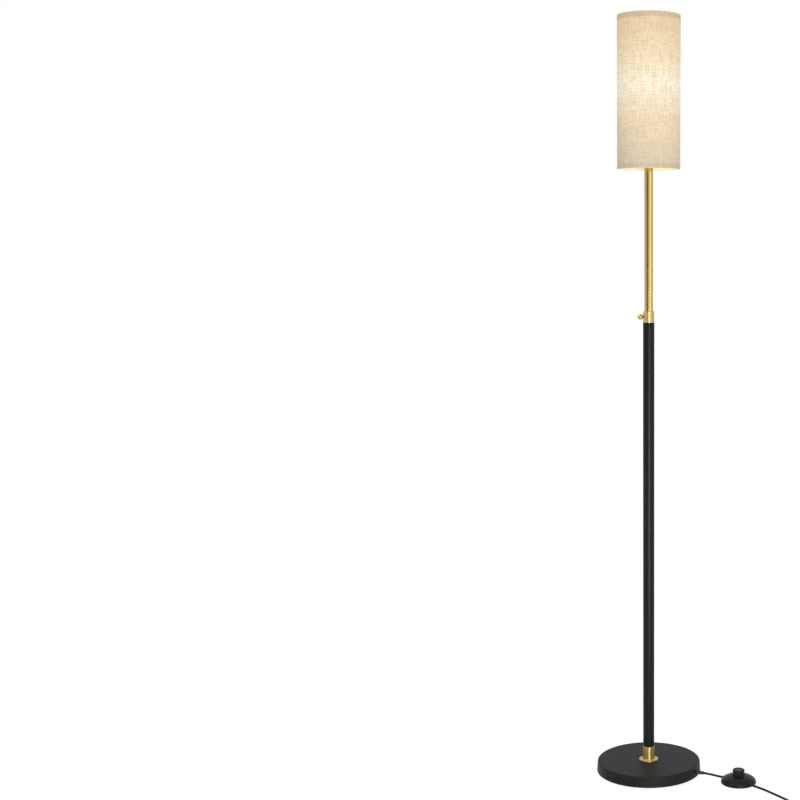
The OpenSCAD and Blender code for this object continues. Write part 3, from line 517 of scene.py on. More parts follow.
@cache
def linen():
    """Plain-woven linen with slubs, pressed on a thin white sheet and lit from inside: it glows
    brightest beside the bulb and warmer towards its ends, thick threads stand out darker, and
    the doubled hems let little light through."""
    shade = bpy.context.scene.lamp_shade
    material, tree, shader, coords = surface("linen_plain_weave_slubbed", Roughness=0.9, Sheen_Weight=0.1,
                                             Emission_Strength=1)
    wrap = add(tree, "UVMap", {"uv_map": "Wrap"}).outputs[0]
    add_up, times = {"operation": "ADD"}, {"data_type": "RGBA", "blend_type": "MULTIPLY"}

    def threads(width, height, detail):
        way = add(tree, "Mapping", {}, {"Vector": wrap, "Scale": (1 / width, 1 / height, 1)})
        return add(tree, "TexNoise", {}, {"Vector": way.outputs[0], "Scale": 1, "Detail": detail}).outputs[0]

    # A thick place is about 0.6 mm wide on the real cloth; it is drawn 1.3 mm wide so that it shows
    thick, band, band_length = 1.3 * MM, 2.2 * MM, 6 * shade.slub
    thick_only = {"stops": [(0.52, (0, 0, 0, 1)), (0.66, (1, 1, 1, 1))]}
    slubs = [add(tree, "ValToRGB", thick_only, {0: value}).outputs[0]
             for value in (threads(shade.slub, thick, 2), threads(thick, 1.4 * shade.slub, 2))]
    slub = add(tree, "Math", {"operation": "MAXIMUM"}, {0: slubs[0], 1: slubs[1]}).outputs[0]
    bands = add(tree, "Math", add_up, {0: threads(band_length, band, 1), 1: threads(band, band_length, 1)})
    # At a scale of 1 the wave texture's bands lie 0.314 apart
    fine = add(tree, "Mapping", {}, {"Vector": wrap, "Scale": [0.314 / shade.thread] * 3})
    weave = [add(tree, "TexWave", {"bands_direction": way}, {
        "Vector": fine.outputs[0], "Scale": 1, "Distortion": 0.6, "Detail": 1}).outputs[0] for way in "XY"]
    cloth = add(tree, "Math", {"operation": "MULTIPLY"}, {0: weave[0], 1: weave[1]})

    # The glow by height: the lower hem, the body with its brightest place beside the bulb, the upper hem
    hem = shade.hem / shade.height
    inside_hem, past_hem = hem * 0.95, hem * 1.1
    codes = {0: "#241f12", inside_hem: "#2b2414", past_hem: "#5a5140", 0.30: "#907c58", 0.42: "#9e9680",
             0.54: "#adada4", 0.61: "#a5a490", 0.74: "#9e8c67", 1 - past_hem: "#8f7446",
             1 - inside_hem: "#5c3f1c", 1: "#58401f"}
    glow = add(tree, "ValToRGB", {"stops": [(at, colour(code)) for at, code in codes.items()]},
               {0: height_share(tree, coords, "shade_linen")})
    # The turned-in side of a hem faces the bulb: its colour is the bulb's light painted on, brighter than the
    # glow of the hem's outside
    axes = add(tree, "SeparateXYZ", {}, {0: coords})
    flat = add(tree, "CombineXYZ", {}, {0: axes.outputs[0], 1: axes.outputs[1]})
    out = add(tree, "VectorMath", {"operation": "LENGTH"}, {0: flat.outputs[0]}).outputs["Value"]
    inner_side = add(tree, "Math", {"operation": "LESS_THAN"}, {0: out, 1: shade.diameter / 2 - 0.9 * MM})
    lit = add(tree, "Mix", {"data_type": "RGBA"}, {
        0: inner_side.outputs[0], 6: glow.outputs[0], 7: colour("#cfb680")})
    # Thick threads hold back the light and let through its warm part
    held = add(tree, "Mix", times, {0: slub, 6: lit.outputs[2], 7: (0.78, 0.60, 0.42, 1)})
    flax = add(tree, "Mix", times, {0: slub, 6: shade.linen, 7: (0.86, 0.80, 0.74, 1)})
    streaks = add(tree, "MapRange", {}, {"Value": bands.outputs[0], "From Min": 0.6, "From Max": 1.4,
                                         "To Min": 0.93, "To Max": 1.07}).outputs[0]
    bright, lie = [add(tree, "Mix", times, {0: 1, 6: under.outputs[2], 7: streaks}) for under in (held, flax)]
    rise = add(tree, "Math", add_up, {0: slub, 1: cloth.outputs[0]})
    bump = add(tree, "Bump", {}, {"Strength": 0.8, "Distance": 0.15 * MM, "Height": rise.outputs[0]})
    feed(tree, shader, Base_Color=lie.outputs[2], Emission_Color=bright.outputs[2], Normal=bump.outputs[0])
    return material


@cache
def shade_lining():
    """White styrene sheet lit by the bulb: almost white beside the bulb and cream at its ends."""
    material, tree, shader, coords = surface("styrene_sheet_white", Roughness=0.5, Emission_Strength=1)
    glow = add(tree, "ValToRGB", {"stops": [
        (0.0, colour("#8d7c5c")), (0.25, colour("#b9a577")), (0.5, colour("#e9dfc0")),
        (0.8, colour("#b39c6c")), (1.0, colour("#93794d"))]}, {0: height_share(tree, coords, "shade_linen")})
    skin = add(tree, "TexNoise", {}, {"Vector": coords, "Scale": 60, "Detail": 2}).outputs[0]
    base = add(tree, "ValToRGB", {"stops": [(0.3, colour("#e2dccb")), (0.7, colour("#efeadb"))]}, {0: skin})
    feed(tree, shader, Base_Color=base.outputs[0], Emission_Color=glow.outputs[0])
    return material


@cache
def frosted_globe():
    """Polycarbonate, blown and frosted, with the light behind it: warm white, dimmer at its neck."""
    material, tree, shader, coords = surface("polycarbonate_frosted", Roughness=0.35, Emission_Strength=1.2,
                                             Base_Color=colour("#f6efe0"))
    glow = add(tree, "ValToRGB", {"stops": [
        (0.0, colour("#e8c488")), (0.35, colour("#fff0cf")), (1.0, colour("#fff6e2"))]},
        {0: height_share(tree, coords, "bulb_globe")})
    frost = add(tree, "TexNoise", {}, {"Vector": coords, "Scale": 700, "Detail": 2})
    bump = add(tree, "Bump", {}, {"Strength": 0.3, "Distance": 0.02 * MM, "Height": frost.outputs[0]})
    feed(tree, shader, Emission_Color=glow.outputs[0], Normal=bump.outputs[0])
    return material


# ---- Camera and lead -----------------------------------------------------------------------------

def make_camera():
    """A camera at the photograph's place: 3.2 m straight in front of the lamp, at chest height. Its
    shift puts the lamp at the right of the picture, where the photograph has it."""
    distance, height, tilt = 3.183, 1.181, 6.26
    bpy.ops.object.camera_add(location=(0, -distance, height), rotation=(radians(90 - tilt), 0, 0))
    camera = bpy.context.object
    camera.name = "camera"
    camera.data.lens, camera.data.sensor_width, camera.data.shift_x = 66.36, 36, -0.3109
    bpy.context.scene.camera = camera


# The route of the lead in metres, as in the part's source
TO_SWITCH = [
    (0.126, -0.0503, 0.0117), (0.1312, -0.0511, 0.011), (0.1365, -0.0514, 0.0099), (0.1416, -0.0515, 0.0087),
    (0.1468, -0.0517, 0.0075), (0.152, -0.0524, 0.0065), (0.1571, -0.0538, 0.0058)]
RUN = [
    (0.2283, -0.1105, 0.0055), (0.2358, -0.1175, 0.0054), (0.2432, -0.1245, 0.005), (0.2507, -0.1315, 0.0044),
    (0.258, -0.1387, 0.0036), (0.265, -0.1461, 0.003), (0.2717, -0.1539, 0.0026), (0.278, -0.162, 0.0025),
    (0.284, -0.1702, 0.0025), (0.2899, -0.1786, 0.0025), (0.2957, -0.187, 0.0025), (0.3017, -0.1954, 0.0025),
    (0.3075, -0.2038, 0.0025), (0.313, -0.2125, 0.0028), (0.3185, -0.2211, 0.0032)]
# Where the lead leaves the base and what it meets inside: metres from the pole's axis, degrees
BASE_WALL, EXIT_AZIMUTH, EXIT_HEIGHT, BLOCK_END, BLOCK_HEIGHT = 0.11437, -22, 0.012, 0.092, 0.008
# The foot switch: the azimuths at which the lead goes in and out, and its places on the way in
SWITCH_CENTRE, SWITCH_RIM = Vector((0.196, -0.074, 0)), 0.0385
SWITCH_IN, SWITCH_OUT, SWITCH_CORD_HEIGHT = 152, -49, 0.0055
SWITCH_PATH = (SWITCH_RIM, SWITCH_RIM - 0.006, 0.019)
# The coil: the azimuths of its ends in degrees, and the share of a turn in which it climbs a layer
COIL_CENTRE, COIL_RADIUS, COIL_PITCH, COIL_TURNS = Vector((0.299, -0.262, 0)), 0.040, 0.0056, 7
COIL_START, COIL_STOP, COIL_HEIGHT, LAYER_CHANGE = 38, -90, 0.0034, 0.5


def ray(azimuth, distance, height=0.0):
    """The point at that azimuth in degrees, distance from the Z axis and height."""
    a = radians(azimuth)
    return Vector((distance * cos(a), distance * sin(a), height))


def coil_points():
    """The coil: in to the middle, up one layer, and out again, clockwise seen from above."""
    total = COIL_TURNS + (COIL_START - COIL_STOP) / 360
    inwards = (total - LAYER_CHANGE) / 2
    steps = 24
    points = []
    for k in range(int(total * steps) + 1):
        t = k / steps
        u = (t - total / 2) / LAYER_CHANGE
        if t < inwards:
            radius = COIL_RADIUS - COIL_PITCH * t
        elif t > total - inwards:
            radius = COIL_RADIUS - COIL_PITCH * (total - t)
        else:
            radius = COIL_RADIUS - COIL_PITCH * (inwards + LAYER_CHANGE * (0.25 - u * u))
        rise = min(max((t - inwards) / LAYER_CHANGE, 0), 1)
        height = COIL_HEIGHT + COIL_PITCH * rise * rise * (3 - 2 * rise)
        points.append(COIL_CENTRE + ray(COIL_START - 360 * t, radius, height))
    end = COIL_CENTRE + ray(COIL_STOP, COIL_RADIUS, COIL_HEIGHT + COIL_PITCH)
    return points + [end]


def flexible(name, points, diameter):
    """A lead as a smooth curve through its points, in metres."""
    line = bpy.data.curves.new(name, "CURVE")
    line.dimensions = "3D"
    line.bevel_depth, line.bevel_resolution = diameter / 2, 4
    line.use_fill_caps, line.resolution_u = True, 4
    spline = line.splines.new("BEZIER")
    spline.bezier_points.add(len(points) - 1)
    for point, at in zip(spline.bezier_points, points):
        point.co = at
        point.handle_left_type = point.handle_right_type = "AUTO"
    piece = bpy.data.objects.new(name, line)
    bpy.context.collection.objects.link(piece)
    return piece


def make_first_lead(diameter):
    """The stretch from the join inside the base, through the bush, to the foot switch."""
    climb = [(0, 0), (3, 0), (6.5, 1.1), (10, 3.2), (13, 4.7)]
    rise = (EXIT_HEIGHT - BLOCK_HEIGHT) / 5
    points = [ray(EXIT_AZIMUTH, BLOCK_END + out * MM, BLOCK_HEIGHT + up * rise) for out, up in climb]
    points += [ray(EXIT_AZIMUTH, BASE_WALL + out * MM, EXIT_HEIGHT) for out in (-6.2, 0, 8, 16)]
    points += [Vector(p) for p in TO_SWITCH]
    points += [SWITCH_CENTRE + ray(SWITCH_IN, r, SWITCH_CORD_HEIGHT) for r in SWITCH_PATH]
    return flexible("lead_base_to_switch", points, diameter)


def make_long_lead(diameter):
    """The stretch from the foot switch over the floor, round the coil and into the plug's relief."""
    heading = Vector((sin(radians(COIL_START)), -cos(radians(COIL_START)), 0))
    coil = coil_points()
    run_end = COIL_CENTRE + ray(COIL_START, COIL_RADIUS, COIL_HEIGHT) - diameter * heading
    points = [SWITCH_CENTRE + ray(SWITCH_OUT, r, SWITCH_CORD_HEIGHT) for r in reversed(SWITCH_PATH)]
    points += [Vector(p) for p in RUN] + [run_end - diameter * heading, run_end] + coil
    end = coil[-1]
    plug_ways = ((0.005, end.z), (0.010, 0.0084), (0.015, 0.007), (0.024, 0.007))
    points += [Vector((end.x - on, end.y, height)) for on, height in plug_ways]
    return flexible("lead_switch_to_plug", points, diameter)


def make_bush():
    """The rubber bush in the base's side, with a tail that is ringed so that it bends evenly."""
    wall, sheet, slack, bore = 113.2, 1.2, 0.5, 2.55
    hole, root, tip, end = bore + 1.6, bore + 2.9, bore + 0.9, sheet + 16
    rings, first, step, width, notch, cone = 5, 4.6, 2.6, 1.5, 0.45, 3.3
    points = [(bore, -5), (hole - 0.6, -5, 0.3), (hole + 0.6, -2, 0.3), (hole + 0.6, -slack, 0.2),
              (hole, -slack), (hole, sheet + slack), (root, sheet + slack, 0.3),
              (root, sheet + slack + 1.5, 0.5)]
    for k in range(rings):
        low, high = first + k * step, first + k * step + width
        near, far = [root - 1 + (tip - root + 1) * (z - cone) / (end - cone) for z in (low, high)]
        points += [(near - notch, low, 0.15), (near, low + 0.1, 0.15),
                   (far, high, 0.15), (far - notch, high + 0.1, 0.15)]
    points += [(tip, end, 0.2), (bore, end)]
    piece = place(turned("lead_bush", points, 48, hold=0.1), turn=(0, 90, 0))
    return place(piece, ray(EXIT_AZIMUTH, wall, EXIT_HEIGHT / MM), (0, 0, EXIT_AZIMUTH))


def make_coil_tie():
    """A flat rubber strap round one side of the coil, with rounded corners."""
    width, thick, corner, azimuth = 9, 0.6, 2.6, 150
    inner, outer, high = 17.4, 42.8, (COIL_HEIGHT + COIL_PITCH) / MM + 2.8
    middle = ((inner + outer) / 2, 0, (high + thick) / 2)
    piece = block("coil_tie_strap", middle, (outer - inner + 2 * thick, width, high + thick))
    pick(piece, "FACE", lambda m: abs(m.y) > 0.4 * width * MM)
    bpy.ops.mesh.delete(type="ONLY_FACE")
    pick(piece, "EDGE", lambda m: abs(m.y) < 0.1 * MM)
    bpy.ops.mesh.bevel(offset=corner * MM, segments=6)
    close_up(piece)
    modify(piece, "SOLIDIFY", thickness=thick * MM, offset=-1)
    return place(smooth(bevelled(piece, 0.15, 2, 60)), COIL_CENTRE / MM, (0, 0, azimuth))


def box_piece(name, at, sizes, bevel, segments=3):
    """A block with its middle and sizes in millimetres, its edges rounded by the bevel."""
    return smooth(bevelled(close_up(block(name, at, sizes)), bevel, segments))


def make_plug():
    """The two-blade plug: a rounded body with finger ridges, its ringed relief and its blades."""
    low, high = [corner / MM for corner in map(Vector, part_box("plug_body"))]
    (front, _, _), (back, _, _) = low, high
    _, y, z = (low + high) / 2
    _, wide, tall = high - low

    shoulder = 6
    straight = back - shoulder
    body = block("plug_body_moulded", ((front + straight) / 2, y, z), (straight - front, wide, tall))
    pick(body, "FACE", lambda m: m.x > (straight - 0.1) * MM)
    bpy.ops.mesh.inset(thickness=1.2 * MM)
    bpy.ops.mesh.extrude_region_move(TRANSFORM_OT_translate={"value": (shoulder * MM, 0, 0)})
    bpy.ops.transform.resize(value=(1, 0.86, 0.94), center_override=(back * MM, y * MM, z * MM))
    body = smooth(bevelled(close_up(body), 2.2, 5))
    ridge_at = [(front + 5 + k * 2.4, y + side * (wide / 2 - 0.35), z) for side in (-1, 1) for k in range(5)]
    ridges = [box_piece("ridge", at, (1.1, 0.7, tall - 6), 0.3) for at in ridge_at]
    body = joined("plug_body_moulded", body, *ridges)

    start, end = [corner[0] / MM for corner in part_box("plug_relief")]
    length, rings, bore, thin, fat = end - start, 7, 2.55, 3.2, 5.4
    step = (length - 4) / rings
    points = [(bore, 0), (3.1, 0, 0.2)]
    for k in range(rings):
        at = 1.5 + k * step
        radius = thin + (fat - thin) * at / length
        points += [(radius - 0.6, at, 0.15), (radius, at + 0.3, 0.25),
                   (radius + 0.2, at + 0.7 * step, 0.25), (radius - 0.4, at + 0.75 * step, 0.15)]
    points += [(fat, length - 1, 0.2), (fat, length), (bore, length)]
    relief = place(turned("plug_relief_ringed", points, 40, hold=0.1), (end, y, z), (0, -90, 0))

    tip, root = [corner[0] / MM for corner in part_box("plug_blades")]
    hole_x, half_apart = tip + 4.5, 6.35
    blades = []
    for middle in (y - half_apart, y + half_apart):
        blade = box_piece("blade", ((tip + root) / 2, middle, z), (root - tip, 1.5, 6.3), 0.35, 2)
        blades.append(cut(blade, rod("hole", (hole_x, middle - 3, z), (hole_x, middle + 3, z), 1.5)))
    return body, relief, smooth(joined("plug_blades_stamped", *blades))


# ---- Foot switch ---------------------------------------------------------------------------------

def make_switch_dome(diameter, button):
    """The switch's dome: a low half ellipse on a short straight rim, with a neck for the button."""
    edge, top = diameter / 2 / MM, reach("switch_cover")[2]
    foot, rim, wall, hole = 0.8, 4.0, 2.0, button / 2 / MM + 0.3
    dome, rise, neck, neck_foot = edge - 0.5, top - rim, hole + 1.7, 13

    inner = dome - wall
    lip = rim + rise * sin(acos(hole / dome))
    points = [(edge, foot, 0.2), (edge, 3, 0.3), (dome, 3.05)]
    points += arc(dome, rise, rim, 0, acos((hole + 0.5) / dome), 14)
    points += [(hole, lip, 0.35), (hole, neck_foot), (neck, neck_foot)]
    points += arc(inner, rise - wall, rim, acos(neck / inner), 0, 14) + [(inner, foot)]
    piece = turned("switch_dome", points, 128, hold=0.15)
    height = SWITCH_CORD_HEIGHT / MM
    holes = [rod("hole", ray(a, 29, height), ray(a, 42, height), 3.45) for a in (SWITCH_IN, SWITCH_OUT)]
    return place(smooth(cut(piece, *holes)), SWITCH_CENTRE / MM)


def make_switch_button(diameter):
    """The push button: a cup with a rounded edge, a shallow dished top and a post underneath."""
    edge, (_, foot, top) = diameter / 2 / MM, reach("switch_button")
    flange, rim, inside, roof, post, post_foot = edge + 2.2, foot + 1.5, edge - 1.6, top - 2.2, 2.5, 13.9
    points = [(0, top - 0.45), (edge * 0.35, top - 0.38), (edge * 0.6, top - 0.2), (edge * 0.8, top - 0.02),
              (edge, top, 1.9), (edge, rim, 0.2), (flange, rim, 0.3), (flange, foot, 0.3), (inside, foot),
              (inside, roof, 0.4), (post, roof, 0.4), (post, post_foot), (0, post_foot)]
    return place(turned("switch_push_button", points, 96, closed=False, hold=0.2), SWITCH_CENTRE / MM)


def make_switch_spring():
    """The spring under the button: five turns of steel wire."""
    turns, sides, wire, inset = 5, 10, 0.9 * MM, 0.5 * MM
    low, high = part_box("switch_spring")
    middle = ((high.x - low.x) / 2 - inset, 0, low.z + inset)
    only()
    bpy.ops.mesh.primitive_circle_add(vertices=sides, radius=wire / 2, fill_type="NGON",
                                      location=middle, rotation=(pi / 2, 0, 0))
    piece = named("switch_spring_coil")
    bpy.ops.mesh.delete(type="ONLY_FACE")
    modify(fixed(piece), "SCREW", steps=20, render_steps=20, iterations=turns, use_merge_vertices=False,
           screw_offset=(high.z - low.z - 2 * inset) / turns)
    bpy.ops.object.mode_set(mode="EDIT")
    bpy.ops.mesh.select_all(action="SELECT")
    bpy.ops.mesh.fill_holes(sides=sides)
    return smooth(place(close_up(piece), SWITCH_CENTRE / MM), 50)


# ---- Base, poles and thumb screw -----------------------------------------------------------------

# Radius of the stud's hole in the cover and the collar
STUD_HOLE = 5.25


def make_base_cover(diameter, edge):
    """The pressed steel cover: a low drum with a rounded edge, open below, with the bush's hole."""
    radius, (_, foot, top) = diameter / 2 / MM, reach("base_cover")
    sheet, taper, height = 1.2, 1.5, EXIT_HEIGHT / MM
    edge = edge / MM
    points = [(STUD_HOLE, top, 0.2), (radius - taper, top, edge), (radius, foot, 0.3),
              (radius - sheet, foot, 0.3), (radius - taper - sheet, top - sheet, edge - sheet),
              (STUD_HOLE, top - sheet, 0.2)]
    piece = turned("base_cover_pressed", points, 192, hold=1.0)
    hole = rod("hole", ray(EXIT_AZIMUTH, radius - 7, height), ray(EXIT_AZIMUTH, radius + 7, height), 4.2)
    return smooth(cut(piece, hole))


def make_base_collar():
    """The brass sleeve round the pole's foot, on a flange with a bright raised rim."""
    flange, low, top = reach("base_collar")
    pole = reach("lower_pole")[0] + 0.05
    sleeve, seat = pole + 0.5, low + 2
    dish = seat - 0.9
    points = [(STUD_HOLE, low), (flange, low, 0.3), (flange, seat, 0.6), (flange - 1.8, seat, 0.5),
              (flange - 2.4, dish, 0.5), (sleeve + 1.4, dish, 0.7), (sleeve, seat + 0.5, 0.8),
              (sleeve, top, 0.35), (pole, top, 0.15), (pole, seat), (STUD_HOLE, seat)]
    return turned("base_collar_turned", points, 96, hold=0.15)


def make_lower_pole(diameter):
    """The black lower tube, its cut edges lightly rounded."""
    radius, (_, low, top) = diameter / 2 / MM, reach("lower_pole")
    inner = radius - 1
    points = [(radius, low, 0.15), (radius, top, 0.25), (inner, top, 0.25), (inner, low, 0.15)]
    return turned("lower_pole_tube", points)


def make_upper_pole(diameter):
    """The brass upper tube, with the grooves for the snap rings near its foot."""
    radius, (_, low, top) = diameter / 2 / MM, reach("upper_pole")
    inner, groove, groove_width = radius - 0.8, radius - 0.4, 1
    points = [(radius, low, 0.15)]
    for z in (low + 0.7, low + 22.3):
        points += [(radius, z), (groove, z), (groove, z + groove_width), (radius, z + groove_width)]
    points += [(radius, top, 0.25), (inner, top, 0.2), (inner, low, 0.15)]
    return turned("upper_pole_tube", points)


def make_inner_lead():
    """The slack lead inside the lower pole, drawn straight, its ends just clear of what they meet."""
    radius, low, top = reach("lead_lower")
    return rod("inner_lead_lower", (0, 0, low + 0.1), (0, 0, top - 0.1), radius)


def make_top_collar():
    """The brass collar on the lower pole, with a spigot inside it and the screw's hole."""
    low, top = reach("top_collar")[1:]
    seat, radius = reach("lower_pole")[2], 12.0
    bore, spigot, guide = 9.58, 11.45, 10.43
    points = [(guide, low), (spigot, low, 0.3), (spigot, seat - 0.01), (radius, seat, 0.45),
              (radius, top, 0.7), (bore, top, 0.3), (bore, seat - 1), (guide, seat - 1)]
    piece = turned("top_collar_turned", points, 96, hold=0.2)
    _, screw_low, screw_top = reach("thumb_screw")
    height = (screw_low + screw_top) / 2
    return smooth(cut(piece, rod("hole", (-9, 0, height), (-14, 0, height), 2.5)))


def make_thumb_screw():
    """The thumb screw: a ball with a groove round its middle and a dimple in its end, on a neck
    and a short threaded shank. It is turned along Z and laid along -X."""
    low, high = [corner / MM for corner in map(Vector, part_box("thumb_screw"))]
    tip, height, ball = -high.x, (low.z + high.z) / 2, (high.z - low.z) / 2
    centre, near, shank, neck, pitch = -low.x - ball, 12.4, 2.42, 3, 0.8
    points = [(0, tip), (shank - 0.4, tip)]
    z = tip + 0.4
    while z < 12 - pitch:
        points += [(shank, z), (shank - 0.3, z + pitch / 2)]
        z += pitch
    points += [(shank, 12.1), (neck, 12.3, 0.1), (neck, near)]
    groove = asin(0.5 / ball)
    points += arc(ball, ball, centre, asin((near - centre) / ball), -groove, 8)
    points += [(ball - 0.45, centre - 0.28), (ball - 0.55, centre), (ball - 0.45, centre + 0.28)]
    points += arc(ball, ball, centre, groove, acos(1.5 / ball), 12)
    points += [(0.5, centre + ball - 0.7), (0, centre + ball - 0.75)]
    return place(turned("thumb_screw_ball", points, 64, closed=False, angle=30), (0, 0, height), (0, -90, 0))


# ---- Shade -----------------------------------------------------------------------------------------

def wrap_uv(piece, radius):
    """Lays the piece's UV map round the pole's axis in metres, with its seam at the back."""
    mesh = piece.data
    layer = mesh.uv_layers.new(name="Wrap")
    for face in mesh.polygons:
        middle = atan2(face.center.x, -face.center.y)
        for loop in face.loop_indices:
            x, y, z = mesh.vertices[mesh.loops[loop].vertex_index].co
            turn = atan2(x, -y)
            turn += FULL_TURN * round((middle - turn) / FULL_TURN)
            layer.data[loop].uv = (turn * radius, z)


# The wire rings: the radius of each ring to the middle of its wire, and the wire's own radius
RING_RADIUS, WIRE_RADIUS = 64.95, 1.45


def arm_ends():
    """The middles of the spider's arm ends, in millimetres: at the hub and at the lower ring."""
    hub, ring = reach("shade_ring")[1] - 1, reach("shade_spider")[1] + WIRE_RADIUS
    return [(ray(a, 26, hub), ray(a, RING_RADIUS, ring)) for a in (90, 210, 330)]


def make_linen(diameter, height, hem):
    """The linen drum: one skin, turned in over both rings, with the arms' slits in its lower hem."""
    radius, foot = diameter / 2 / MM, reach("shade_linen")[1]
    top, hem, cloth = foot + height / MM, hem / MM, 0.6
    inside, lip = radius - cloth, radius - 4.65
    fold, low_hem, high_hem = lip + cloth, foot + hem, top - hem
    points = [(lip, foot, 0.3), (radius, foot, 1.3), (radius, top, 1.3), (lip, top, 0.3),
              (lip, high_hem, 0.2), (fold, high_hem, 0.2), (fold, top - cloth), (inside, top - cloth),
              (inside, foot + cloth), (fold, foot + cloth), (fold, low_hem, 0.2), (lip, low_hem, 0.2)]
    piece = turned("shade_linen_drum", points, 180, hold=1.0)
    slits = [rod("slit", start + (end - start) * 0.8, end, 1.9) for start, end in arm_ends()]
    wrap_uv(cut(piece, *slits), diameter / 2)
    return smooth(piece)


def make_back_seam(diameter, height):
    """The lapped seam down the back: a strip of linen 12 mm wide that stands 0.3 mm proud."""
    radius, foot = diameter / 2 / MM, reach("shade_linen")[1]
    low, high, turn = foot + 0.8, foot + height / MM - 0.8, 12 / radius
    middle = Vector((radius + 0.1, 0, (low + high) / 2)) * MM
    only()
    bpy.ops.mesh.primitive_plane_add(size=1, calc_uvs=False, location=middle, rotation=(pi / 2, 0, 0))
    piece = named("shade_back_seam")
    bpy.ops.transform.resize(value=(0.4 * MM, 1, (high - low) * MM))
    bpy.ops.mesh.select_all(action="SELECT")
    bpy.ops.mesh.spin(steps=8, angle=turn, center=(0, 0, 0), axis=(0, 0, 1))
    place(close_up(piece), turn=(0, 0, 90 - degrees(turn) / 2))
    wrap_uv(piece, diameter / 2)
    return smooth(piece)


def make_lining(diameter):
    """The white sheet behind the linen."""
    _, low, top = reach("shade_lining")
    outer = diameter / 2 / MM - 0.65
    inner = outer - 0.4
    return turned("shade_lining_sheet", [(outer, low), (outer, top), (inner, top), (inner, low)], 180)


def make_wire_ring(name, middle):
    """A wire ring: a round section spun about the pole's axis."""
    angles = [FULL_TURN * k / 12 for k in range(12)]
    section = [(RING_RADIUS + WIRE_RADIUS * cos(a), middle + WIRE_RADIUS * sin(a)) for a in angles]
    return turned(name, section, 120)


def make_spider():
    """The wire frame: a hub with a rolled edge, three arms with welded ends and the lower ring."""
    start, end = arm_ends()[0]
    inner, outer, low, top = 19.55, 28.0, start.z - 1, start.z + 1
    points = [(inner, low, 0.25), (outer, low, 0.4), (outer, top, 0.4), (inner, top, 0.25)]
    parts = [turned("hub", points, 96, hold=0.2), make_wire_ring("ring", end.z)]
    for first, last in arm_ends():
        way = (last - first).normalized()
        parts.append(rod("arm", first, last, 1.6))
        parts.append(rod("weld", last - way * 3.5, last - way * 0.8, 1.85, 0.8))
    return joined("shade_spider_wire", *parts)


def make_shade_ring():
    """The ring that clamps the shade: a threaded ring with grip ribs round its edge."""
    radius, low, top = reach("shade_ring")
    inner, valley, ribs = 19.33, radius - 0.5, 48
    rib_low, rib_top = low + 1.4, top - 1.4
    points = [(inner, low, 0.2), (valley, low, 0.3), (valley, rib_low), (valley, rib_top), (valley, top, 0.3),
              (inner, top, 0.2)]
    piece = turned("shade_ring_ribbed", points, 2 * ribs, hold=0.2)
    bpy.ops.object.mode_set(mode="EDIT")

    def on_rib(m):
        step = int((atan2(m.y, m.x) / FULL_TURN + 1) * ribs * 2 + 0.01)
        return m.xy.length > (valley - 0.3) * MM and rib_low < m.z / MM < rib_top and step % 2 == 0

    pick(piece, "FACE", on_rib)
    bpy.ops.mesh.extrude_region_move()
    bpy.ops.transform.shrink_fatten(value=0.45 * MM)
    return smooth(close_up(piece))


# ---- Lampholder and bulb ---------------------------------------------------------------------------

def make_holder_cap():
    """The lampholder's lower cap: a cup with a rounded shoulder and a grooved band at its rim."""
    radius, low, top = reach("lampholder_cap")
    bore, wall, groove = 5.03, 1.8, radius - 0.5
    inner, floor = radius - wall, low + wall
    points = [(bore, low), (13.5, low, 1.0), (radius, low + 7, 6), (radius, top - 3.4), (groove, top - 3),
              (groove, top - 2.4), (radius, top - 2), (radius, top, 0.3), (inner, top), (inner, low + 9),
              (radius - 5.8, floor), (bore, floor)]
    return turned("lampholder_cap_pressed", points, 96)


def make_holder_body():
    """The lampholder's body: a flange that carries the shade, and a coarse thread above it."""
    flange, low, top = reach("lampholder_body")
    radius, inner, pitch, root = 19.25, 15.65, 2.4, 18.65
    z = low + 14
    points = [(inner, low), (flange, low, 0.5), (flange, low + 3, 0.5), (radius, low + 3), (radius, z)]
    while z < top - 4:
        points += [(root, z + pitch * 0.3, 0.2), (root, z + pitch * 0.55, 0.2),
                   (radius, z + pitch * 0.85, 0.2), (radius, z + pitch, 0.1)]
        z += pitch
    points += [(radius, top, 0.6), (inner, top, 0.4)]
    return turned("lampholder_body_pressed", points, 96, hold=0.1)


def make_bulb_cap():
    """The bulb's screw cap: a sheet rolled into a round thread."""
    radius, low, top = reach("bulb_cap")
    pitch, depth, steps = 3.2, 0.9, 8
    points = [(0, low), (radius - 2.5, low, 0.4), (radius - 1, low + 1)]
    z = low + 1.2
    while z < top - pitch - 0.5:
        for k in range(steps):
            points.append((radius - depth / 2 * (1 + cos(FULL_TURN * k / steps)), z + pitch * k / steps))
        z += pitch
    points += [(radius - depth, z), (radius - 0.5, top - 0.3), (0, top)]
    return turned("bulb_cap_rolled", points, 64, closed=False)


def make_bulb_body():
    """The bulb's lower body, which widens from the cap to the globe in one smooth sweep."""
    radius, low, top = reach("bulb_body")
    neck, steps = 13.4, 16
    points = [(0, low), (neck, low, 0.4)]
    for k in range(1, steps):
        u = k / steps * 0.85 + 0.08
        points.append((neck + (radius - neck) * u * u * (3 - 2 * u), low + (top - low) * k / steps))
    points += [(radius, top - 0.6, 0.3), (radius - 0.4, top), (0, top)]
    return turned("bulb_body_moulded", points, 72, closed=False)


def make_bulb_globe():
    """The frosted globe, a thin shell that is open where it meets the body."""
    radius, low, top = reach("bulb_globe")
    inner, centre = radius - 1, top - radius
    mouth = asin((low - centre) / radius)
    points = arc(radius, radius, centre, pi / 2, mouth, 32) + arc(inner, inner, centre, mouth, pi / 2, 32)
    return turned("bulb_globe_frosted", points, 72, closed=False)


# ---- Operators -------------------------------------------------------------------------------------

